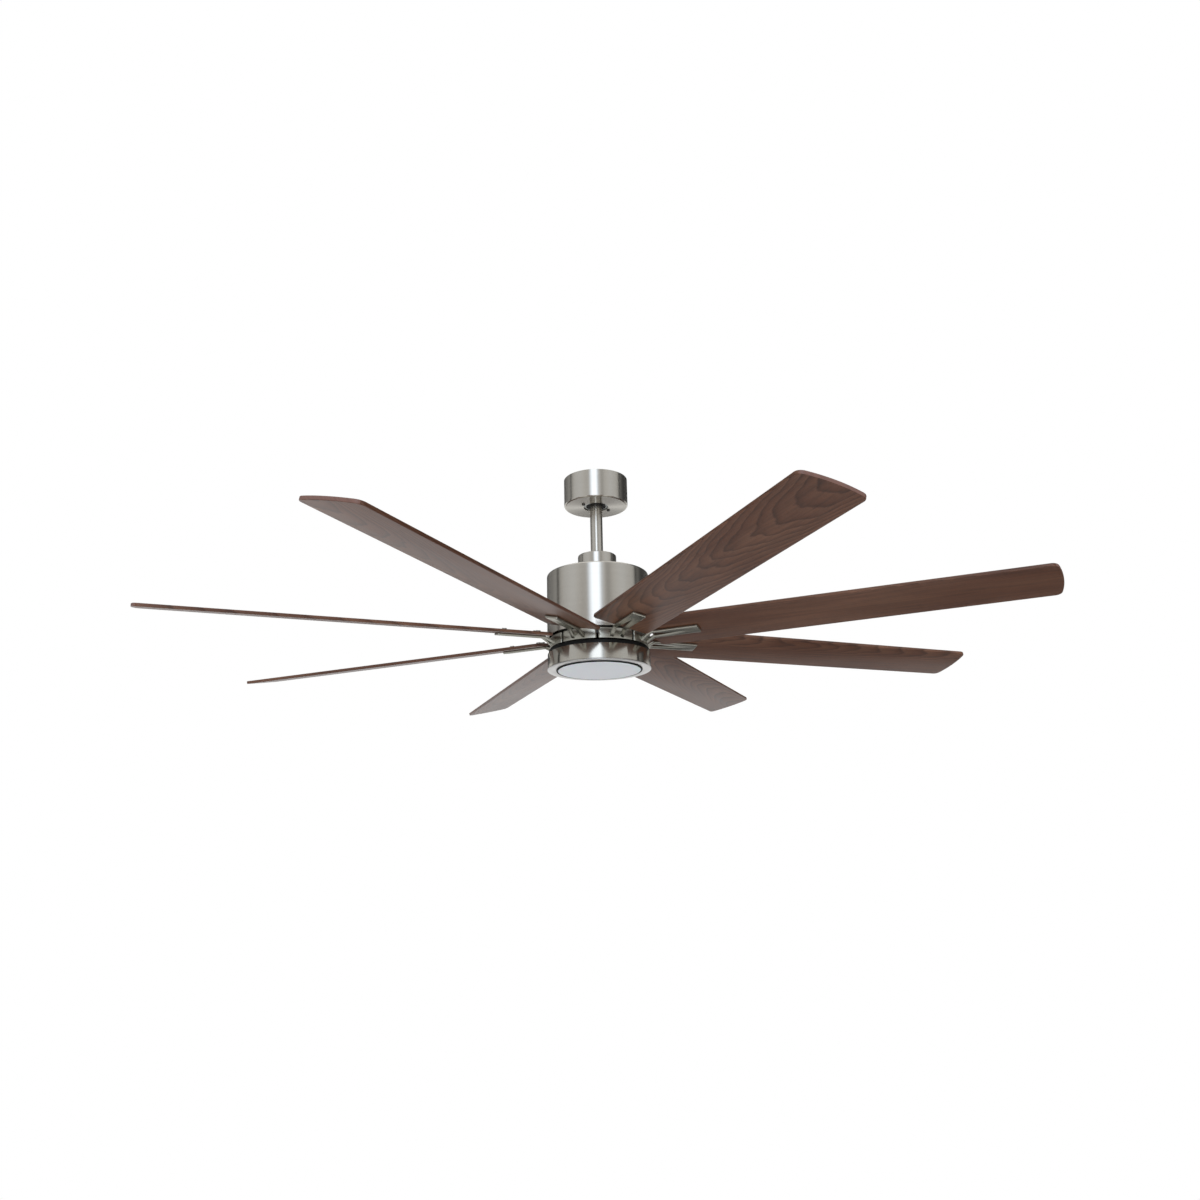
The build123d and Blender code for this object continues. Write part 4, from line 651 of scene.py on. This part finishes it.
low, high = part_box("lens")
beside_axis = 2 * MM
lens_bore = LENS_FACE - LENS_WALL
flange_low = high.z - LENS_FLANGE
lens_outline = [
    (beside_axis, low.z + LENS_WALL),
    (lens_bore, low.z + LENS_WALL),
    (lens_bore, high.z),
    (high.x, high.z),
    (high.x, flange_low),
    (LENS_FACE, flange_low),
    (LENS_FACE, low.z),
    (beside_axis, low.z),
]
lens = turned("opal_lens", lens_outline, edge=0.9 * MM, segments=3, closed=False)
paint(lens, opal)
stands_for(lens, "hanging_body", "opal_acrylic", "lens")


# ---------------------------------------------------------------- blades

foot_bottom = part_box("blade_arm_1")[0].z
blade_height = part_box("flywheel")[0].z + BLADE_LIFT
blade_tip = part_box("blade_1")[1].x


def on_blade(turn):
    """Takes a flat piece, with the blade's length along X, to its place on the fan."""
    return (
        Matrix.Rotation(turn, 4, "Z")
        @ Matrix.Translation((0, 0, blade_height))
        @ Matrix.Rotation(-BLADE_PITCH, 4, "X")
    )


def make_blade_mesh():
    """A tapered strip with rounded corners and a shallow arc for its tip, then thickened."""
    side_end = blade_tip - BLADE_TIP_BULGE
    start_mesh()
    bpy.ops.mesh.primitive_plane_add(size=2, location=((BLADE_ROOT + side_end) / 2, 0, 0))
    blade = bpy.context.object
    blade.scale = ((side_end - BLADE_ROOT) / 2, BLADE_ROOT_HALF, 1)
    bpy.ops.object.transform_apply(location=True, scale=True)
    bpy.ops.object.mode_set(mode="EDIT")
    select_where(blade, lambda co: co.x > BLADE_ROOT + MM)
    narrow = BLADE_TIP_HALF / BLADE_ROOT_HALF
    bpy.ops.transform.resize(value=(1, narrow, 1), center_override=(side_end, 0, 0))
    bpy.ops.mesh.select_all(action="SELECT")
    bpy.ops.mesh.bevel(offset=BLADE_CORNER, segments=8, affect="VERTICES")
    select_where(blade, lambda co: co.x > side_end - 0.01 * MM)
    bpy.ops.mesh.subdivide(number_cuts=17)
    bpy.ops.mesh.select_all(action="SELECT")
    bpy.ops.mesh.extrude_region_move(TRANSFORM_OT_translate={"value": (0, 0, BLADE_THICKNESS)})
    bpy.ops.object.mode_set(mode="OBJECT")
    # The tip's edge is pushed out into an arc.
    arc_radius = (BLADE_TIP_HALF**2 + BLADE_TIP_BULGE**2) / (2 * BLADE_TIP_BULGE)
    for v in blade.data.vertices:
        if v.co.x > side_end - BLADE_CORNER * 1.1:
            v.co.x += math.sqrt(arc_radius**2 - v.co.y**2) - arc_radius + BLADE_TIP_BULGE
    outward(blade)
    bevelled(blade, BLADE_EDGE, 4, angle=40)
    return blade


def map_grain(piece, facing, along, across):
    """Gives the flat blade a UV map in metres along and across it, and marks its ends for a painted
    highlight.

    Each blade's leaf of veneer is cut from another place.
    """
    layer = piece.data.uv_layers[0]
    layer.name = "veneer"
    for loop in piece.data.loops:
        co = piece.data.vertices[loop.vertex_index].co
        layer.data[loop.index].uv = (facing * co.x + along, co.y + co.z + across - VENEER_LIFT)
    # Faces at the ends, facing along the blade, are marked for the painted highlight of the light they catch.
    painted_end_light = piece.data.attributes.new("lit_end_mask", "FLOAT", "FACE")
    for face in piece.data.polygons:
        painted_end_light.data[face.index].value = 1.0 if abs(face.normal.z) < 0.8 and abs(face.normal.x) > 0.6 else 0.0


blade_pattern = make_blade_mesh()
for n in range(BLADE_COUNT):
    blade = twin(blade_pattern, f"walnut_blade_{n + 1}")
    map_grain(blade, *VENEER_CUTS[n])
    blade.data.transform(on_blade(2 * math.pi * n / BLADE_COUNT))
    smooth(blade, 40)
    paint(blade, walnut)
    stands_for(blade, "rotor", "walnut", f"blade_{n + 1}")
bpy.data.objects.remove(blade_pattern)


# ---------------------------------------------------------------- blade arms


def arm_fork():
    """The arm's tongue, split by its window, with the two prongs that run down to the foot."""
    start_mesh()
    middle = ((TONGUE_START + TONGUE_END) / 2, TONGUE_HALF / 2, 0)
    bpy.ops.mesh.primitive_plane_add(size=1, location=middle)
    fork = bpy.context.object
    fork.scale = (TONGUE_END - TONGUE_START, TONGUE_HALF, 1)
    apply_place(fork)
    bpy.ops.object.mode_set(mode="EDIT")
    bpy.ops.mesh.select_all(action="SELECT")
    # The window's side is cut away from this half.
    bpy.ops.mesh.bisect(
        plane_co=(WINDOW_END, 0, 0), plane_no=(WINDOW_HALF, WINDOW_END - TONGUE_START, 0), clear_inner=True
    )
    select_where(fork, lambda co: co.x > TONGUE_END - MM and co.y > MM, "VERT")
    bpy.ops.mesh.bevel(offset=TONGUE_CORNER, segments=5, affect="VERTICES")
    bpy.ops.object.mode_set(mode="OBJECT")
    mirror = fork.modifiers.new("other_half", "MIRROR")
    mirror.use_axis = (False, True, False)
    mirror.merge_threshold = 1e-5
    select_only(fork)
    bpy.ops.object.modifier_apply(modifier=mirror.name)
    bpy.ops.object.mode_set(mode="EDIT")
    bpy.ops.mesh.select_all(action="SELECT")
    bpy.ops.mesh.extrude_region_move(TRANSFORM_OT_translate={"value": (0, 0, -TONGUE_THICKNESS)})
    bpy.ops.object.mode_set(mode="OBJECT")
    outward(fork)
    fork.matrix_world = on_blade(0)
    apply_place(fork)
    for side in (-1, 1):
        bpy.ops.object.mode_set(mode="EDIT")
        select_faces(
            fork, lambda face: face.normal.x < -0.9 and face.calc_center_median().y * side > 0
        )
        chosen = [f for f in bmesh.from_edit_mesh(fork.data).faces if f.select]
        here = chosen[0].calc_center_median().copy()
        start = here.copy()
        foot = Vector((PRONG_ROOT.x, side * PRONG_ROOT.y, PRONG_ROOT.z))
        bend = Vector((TONGUE_START - BEND_REACH, start.y, start.z - BEND_DROP))
        halfway = (bend + foot) / 2
        last_growth = PRONG_SIZE / TONGUE_THICKNESS / HALFWAY_GROWTH
        for there, growth in ((bend, 1.0), (halfway, HALFWAY_GROWTH), (foot, last_growth)):
            bpy.ops.mesh.extrude_region_move(TRANSFORM_OT_translate={"value": there - here})
            bpy.ops.transform.resize(value=(1, 1, growth), center_override=there)
            here = there
        bpy.ops.object.mode_set(mode="OBJECT")
    outward(fork)
    bevelled(fork, 1.5 * MM, 3, angle=40)
    return fork


def arm_foot():
    """A wedge of ring under the flywheel, with a wall round the rim and pockets for two screws."""
    near, far = FOOT_RADII
    low, high = foot_bottom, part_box("flywheel")[0].z
    rim_top = high + FLYWHEEL_HEIGHT
    start_mesh()
    middle = ((near + far) / 2, 0, (low + high) / 2)
    bpy.ops.mesh.primitive_plane_add(size=1, location=middle, rotation=(math.pi / 2, 0, 0))
    foot = bpy.context.object
    foot.scale = (far - near, high - low, 1)
    apply_place(foot)
    bpy.ops.object.mode_set(mode="EDIT")
    bpy.ops.mesh.select_all(action="SELECT")
    bpy.ops.mesh.bisect(plane_co=(far - FOOT_WALL, 0, 0), plane_no=(1, 0, 0))
    select_where(foot, lambda co: co.x > far - FOOT_WALL - 0.1 * MM and co.z > high - 0.1 * MM)
    bpy.ops.mesh.extrude_region_move(TRANSFORM_OT_translate={"value": (0, 0, rim_top - high)})
    bpy.ops.mesh.select_all(action="SELECT")
    bpy.ops.mesh.spin(steps=14, angle=FOOT_ANGLE, center=(0, 0, 0), axis=(0, 0, 1))
    bpy.ops.object.mode_set(mode="OBJECT")
    outward(foot)
    foot.data.transform(Matrix.Rotation(-middle_turn(foot), 4, "Z"))
    # The four upright corners are rounded.
    bpy.ops.object.mode_set(mode="EDIT")
    bpy.ops.mesh.select_mode(type="EDGE")
    bpy.ops.mesh.select_all(action="DESELECT")
    mesh = bmesh.from_edit_mesh(foot.data)
    for edge in mesh.edges:
        a, b = (v.co for v in edge.verts)
        at_end = abs(abs(math.atan2(a.y, a.x)) - FOOT_ANGLE / 2) < 1e-3
        upright = (a.xy - b.xy).length < 1e-6
        on_side = min(abs(a.xy.length - near), abs(a.xy.length - far)) < 1e-5
        edge.select = at_end and upright and on_side
    bmesh.update_edit_mesh(foot.data)
    bpy.ops.mesh.bevel(offset=FOOT_CORNER, segments=4, affect="EDGES")
    bpy.ops.object.mode_set(mode="OBJECT")
    bevelled(foot, 0.8 * MM, 2, angle=40)
    for turn in (-ARM_SCREW_ANGLE, ARM_SCREW_ANGLE):
        x, y = ARM_SCREW_RADIUS * math.cos(turn), ARM_SCREW_RADIUS * math.sin(turn)
        for radius, top in ((SCREW_POCKET, high - FOOT_PLATE), (SCREW_HOLE, high + MM)):
            cut_round(foot, x, y, radius, low - MM, top)
    return foot


fork, foot = arm_fork(), arm_foot()
joined(fork, foot)
for n in range(BLADE_COUNT):
    arm = twin(fork, f"forked_arm_{n + 1}")
    arm.data.transform(Matrix.Rotation(2 * math.pi * n / BLADE_COUNT, 4, "Z"))
    smooth(arm, 40)
    paint(arm, arm_nickel)
    stands_for(arm, "rotor", "nickel_satin", f"blade_arm_{n + 1}")
bpy.data.objects.remove(fork)


# ---------------------------------------------------------------- screws that show, and the painted shade round the lens


def pan_screw(head_radius, head_height, shank_radius, shank_length):
    """A pan-head screw standing on z = 0, its rim rounded and a cross recess sunk in the head."""
    start_mesh()
    middle = (0, 0, head_height / 2)
    bpy.ops.mesh.primitive_cylinder_add(vertices=32, radius=head_radius, depth=head_height, location=middle)
    made = bpy.context.object
    apply_place(made)
    bpy.ops.object.mode_set(mode="EDIT")
    select_faces(made, lambda face: face.normal.z > 0.9)
    bpy.ops.mesh.bevel(offset=0.32 * head_height, segments=4, affect="EDGES")
    select_faces(made, lambda face: face.normal.z < -0.9)
    inset = head_radius - shank_radius
    bpy.ops.mesh.inset(thickness=inset)
    bpy.ops.mesh.extrude_region_move(TRANSFORM_OT_translate={"value": (0, 0, -shank_length)})
    bpy.ops.object.mode_set(mode="OBJECT")
    outward(made)
    for length, width in ((1.1 * head_radius, 0.24 * head_radius), (0.24 * head_radius, 1.1 * head_radius)):
        start_mesh()
        bpy.ops.mesh.primitive_cube_add(size=1, location=(0, 0, head_height))
        blade_of_driver = bpy.context.object
        blade_of_driver.scale = (length, width, 1.1 * head_height)
        apply_place(blade_of_driver)
        cut(made, blade_of_driver)
    smooth(made, 40)
    return made


def round_ring(name, inner, outer, height, steps=32):
    """A flat ring standing on z = 0."""
    outline = [(inner, height), (outer, height), (outer, 0), (inner, 0)]
    return turned(name, outline, steps=steps, edge=0.2 * MM)


blade_screw_places = [
    on_blade(2 * math.pi * n / BLADE_COUNT) @ Matrix.Translation((x * MM, y * MM, BLADE_THICKNESS))
    for n in range(BLADE_COUNT)
    for x, y in SCREW_PLACES
]
washer = round_ring("washer", WASHER_HOLE, WASHER_RADIUS, WASHER)
washers = copies(washer, "washers_on_blades", blade_screw_places)
smooth(washers)
paint(washers, satin_nickel)
stands_for(washers, "rotor", "nickel_screw", "blade_washers")

lift = Matrix.Translation((0, 0, WASHER))
screws = copies(pan_screw(*BLADE_SCREW), "screws_on_blades", [place @ lift for place in blade_screw_places])
paint(screws, screw_nickel)
stands_for(screws, "rotor", "nickel_screw", "blade_screws")

canopy_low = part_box("canopy")[0].z
screw_place = Matrix.Translation((CANOPY_SCREW_RADIUS, 0, canopy_low)) @ Matrix.Rotation(math.pi, 4, "X")
under_canopy = [Matrix.Rotation(turn, 4, "Z") @ screw_place for turn in CANOPY_SCREW_TURNS]
screws = copies(pan_screw(*CANOPY_SCREW), "screws_under_canopy", under_canopy)
# The canopy's screws take the darkened nickel, a painted shade.
paint(screws, shaded_screw_nickel)
stands_for(screws, "ceiling_mount", "nickel_screw", "canopy_screws")

# A black ring fills the gap between the lens and the trim ring and stands nearly as proud as the lens:
# painted shade for the dark gap there.
trim_low, lens_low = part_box("trim_ring")[0].z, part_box("lens")[0].z
shade_ring_top, shade_ring_face = trim_low + SHADE_RING_HIDDEN, lens_low + SHADE_RING_BACK
shade_ring_outline = [
    (SHADE_RING_INNER, shade_ring_top),
    (SHADE_RING_OUTER, shade_ring_top),
    (SHADE_RING_OUTER, trim_low - SHADE_RING_STAND),
    (SHADE_RING_SHOULDER, shade_ring_face),
    (SHADE_RING_INNER, shade_ring_face),
]
shade_ring = turned("lens_shade_ring", shade_ring_outline, edge=0.25 * MM)
paint(shade_ring, black_nylon)
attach(shade_ring, "hanging_body")


# ---------------------------------------------------------------- studio and camera


FLOOR_RADIUS = 1.9
FLOOR_DEPTH = 2.5  # below the ceiling
# The camera stands below the blades, in front and to the left, and looks up.
CAMERA_LENS = 32.19  # millimetres
CAMERA_SENSOR = 36
CAMERA_TURN = math.radians(-21.055)
CAMERA_TILT = math.radians(15.93)
CAMERA_ROLL = math.radians(1.257)
CAMERA_PLACE = Vector((-0.7906, -2.0658, -0.9053))
CAMERA_BEARING = math.degrees(math.atan2(CAMERA_PLACE.y, CAMERA_PLACE.x))

STUDIO_STRENGTH = 2.6  # of its brightest light
# How bright the studio is at eye level, by degrees to the right of the camera as the fan sees it.
STUDIO_BOXES = (
    (-180, 0.05), (-150, 0.08), (-130, 0.24), (-112, 0.38), (-105, 0.42), (-103, 0.05), (-98, 0.05),
    (-96, 0.50), (-80, 0.72), (-55, 0.74), (-35, 0.60), (-24, 0.62), (-13, 2.4), (3, 2.45), (9, 1.0),
    (18, 0.55), (24, 0.44), (34, 0.62), (55, 0.75), (76, 0.68), (90, 0.60), (92, 0.05), (97, 0.05),
    (99, 0.26), (112, 0.08), (145, 0.03), (180, 0.05),
)
# The same for the white sheet behind the fan, which stands lower than the boxes.
STUDIO_SHEET = ((-180, 1.10), (-135, 1.10), (-115, 0.0), (115, 0.0), (140, 1.00), (180, 1.10))
# The same for the light that comes up from in front of, beside and behind the fan.
STUDIO_GLOW = ((-180, 0.05), (-120, 0.20), (-60, 0.80), (0, 1.10), (50, 0.85), (100, 0.10), (180, 0.05))

# Where these meet, as the height of the direction's unit vector: 0 is eye level, 1 straight up.
SHEET_ENDS = (0.08, 0.16)
BOXES_BEGIN = (-0.43, -0.31)
TOP_BEGINS = (0.68, 0.85)
TOP_LIGHT = (0.48, 0.48, 0.485, 1.0)


def horizon(tree, bearing, levels):
    """Brightness round the horizon, from levels at degrees from the camera's bearing."""
    turned_levels = sorted(
        (((degrees + CAMERA_BEARING) % 360) / 360, level / STUDIO_STRENGTH) for degrees, level in levels[:-1]
    )
    first, last = turned_levels[0], turned_levels[-1]
    gap = first[0] + 1 - last[0]
    seam = first[1] + (last[1] - first[1]) * first[0] / gap
    stops = [(0.0, seam)] + turned_levels + [(1.0, seam)]
    return ramp(tree, bearing, stops).outputs["Color"]


def crossing(tree, height, heights, ends=(0.0, 1.0)):
    """Goes softly from one end's value to the other between two heights."""
    node = add(tree, "ShaderNodeMapRange", {"interpolation_type": "SMOOTHSTEP"},
               {"From Min": heights[0], "From Max": heights[1], "To Min": ends[0], "To Max": ends[1]},
               {"Value": height})
    return node.outputs["Result"]


def studio_world():
    """A pale studio: tall soft boxes and dark screens round the fan, a soft top light and a glow from below.

    Only light and reflections meet them; behind the fan it is plain white.
    """
    world = bpy.data.worlds.new("studio")
    world.use_nodes = True
    bpy.context.scene.world = world
    tree = world.node_tree
    tree.nodes.clear()
    place = add(tree, "ShaderNodeTexCoord")
    parts = add(tree, "ShaderNodeSeparateXYZ", links={"Vector": place.outputs["Generated"]})
    angle = add(tree, "ShaderNodeMath", {"operation": "ARCTAN2"},
                links={0: parts.outputs["Y"], 1: parts.outputs["X"]})
    whole = add(tree, "ShaderNodeMath", {"operation": "DIVIDE"}, {1: 2 * math.pi},
                {0: angle.outputs["Value"]})
    bearing = add(tree, "ShaderNodeMath", {"operation": "FRACT"}, links={0: whole.outputs["Value"]})
    boxes = horizon(tree, bearing.outputs["Value"], STUDIO_BOXES)
    sheet = horizon(tree, bearing.outputs["Value"], STUDIO_SHEET)
    glow = horizon(tree, bearing.outputs["Value"], STUDIO_GLOW)
    height = parts.outputs["Z"]
    below = crossing(tree, height, SHEET_ENDS, ends=(1.0, 0.0))
    above = crossing(tree, height, BOXES_BEGIN)
    overhead = crossing(tree, height, TOP_BEGINS)
    # The brightest box is the coolest.
    cool = ramp(tree, boxes, [(0.25, "#ffffff"), (0.40, "#e6f0ff")])
    tinted = mixed(tree, "MULTIPLY", 1.0, boxes, cool.outputs["Color"])
    low_sheet = mixed(tree, "MULTIPLY", 1.0, sheet, below)
    around = mixed(tree, "LIGHTEN", 1.0, tinted, low_sheet)
    sides = mixed(tree, "MIX", above, glow, around)
    light = mixed(tree, "MIX", overhead, sides, TOP_LIGHT)
    seen = add(tree, "ShaderNodeLightPath")
    studio = add(tree, "ShaderNodeBackground", values={"Strength": STUDIO_STRENGTH}, links={"Color": light})
    white = add(tree, "ShaderNodeBackground", values={"Color": (1, 1, 1, 1), "Strength": 1.0})
    both = add(tree, "ShaderNodeMixShader",
               links={0: seen.outputs["Is Camera Ray"], 1: studio.outputs[0], 2: white.outputs[0]})
    add(tree, "ShaderNodeOutputWorld", links={"Surface": both.outputs[0]})


studio_world()
bpy.context.scene.view_settings.view_transform = "Standard"

start_mesh()
bpy.ops.mesh.primitive_circle_add(
    vertices=96, radius=FLOOR_RADIUS, fill_type="NGON", location=(0, 0, -FLOOR_DEPTH)
)
floor = bpy.context.object
floor.name = "floor"
paint(floor, plain_finish("pale_floor", "#e9e8e6", 0.6, grain_mm=4, spread=0.01))

camera_data = bpy.data.cameras.new("camera")
camera_data.sensor_width = CAMERA_SENSOR
camera_data.lens = CAMERA_LENS
camera = bpy.data.objects.new("camera", camera_data)
bpy.context.scene.collection.objects.link(camera)
look = Matrix.Rotation(CAMERA_TURN, 4, "Z") @ Matrix.Rotation(CAMERA_TILT, 4, "X")
look = look @ Matrix.Rotation(CAMERA_ROLL, 4, "Y")
level_view = Matrix.Rotation(math.radians(90), 4, "X")
camera.matrix_world = Matrix.Translation(CAMERA_PLACE) @ look @ level_view
bpy.context.scene.camera = camera
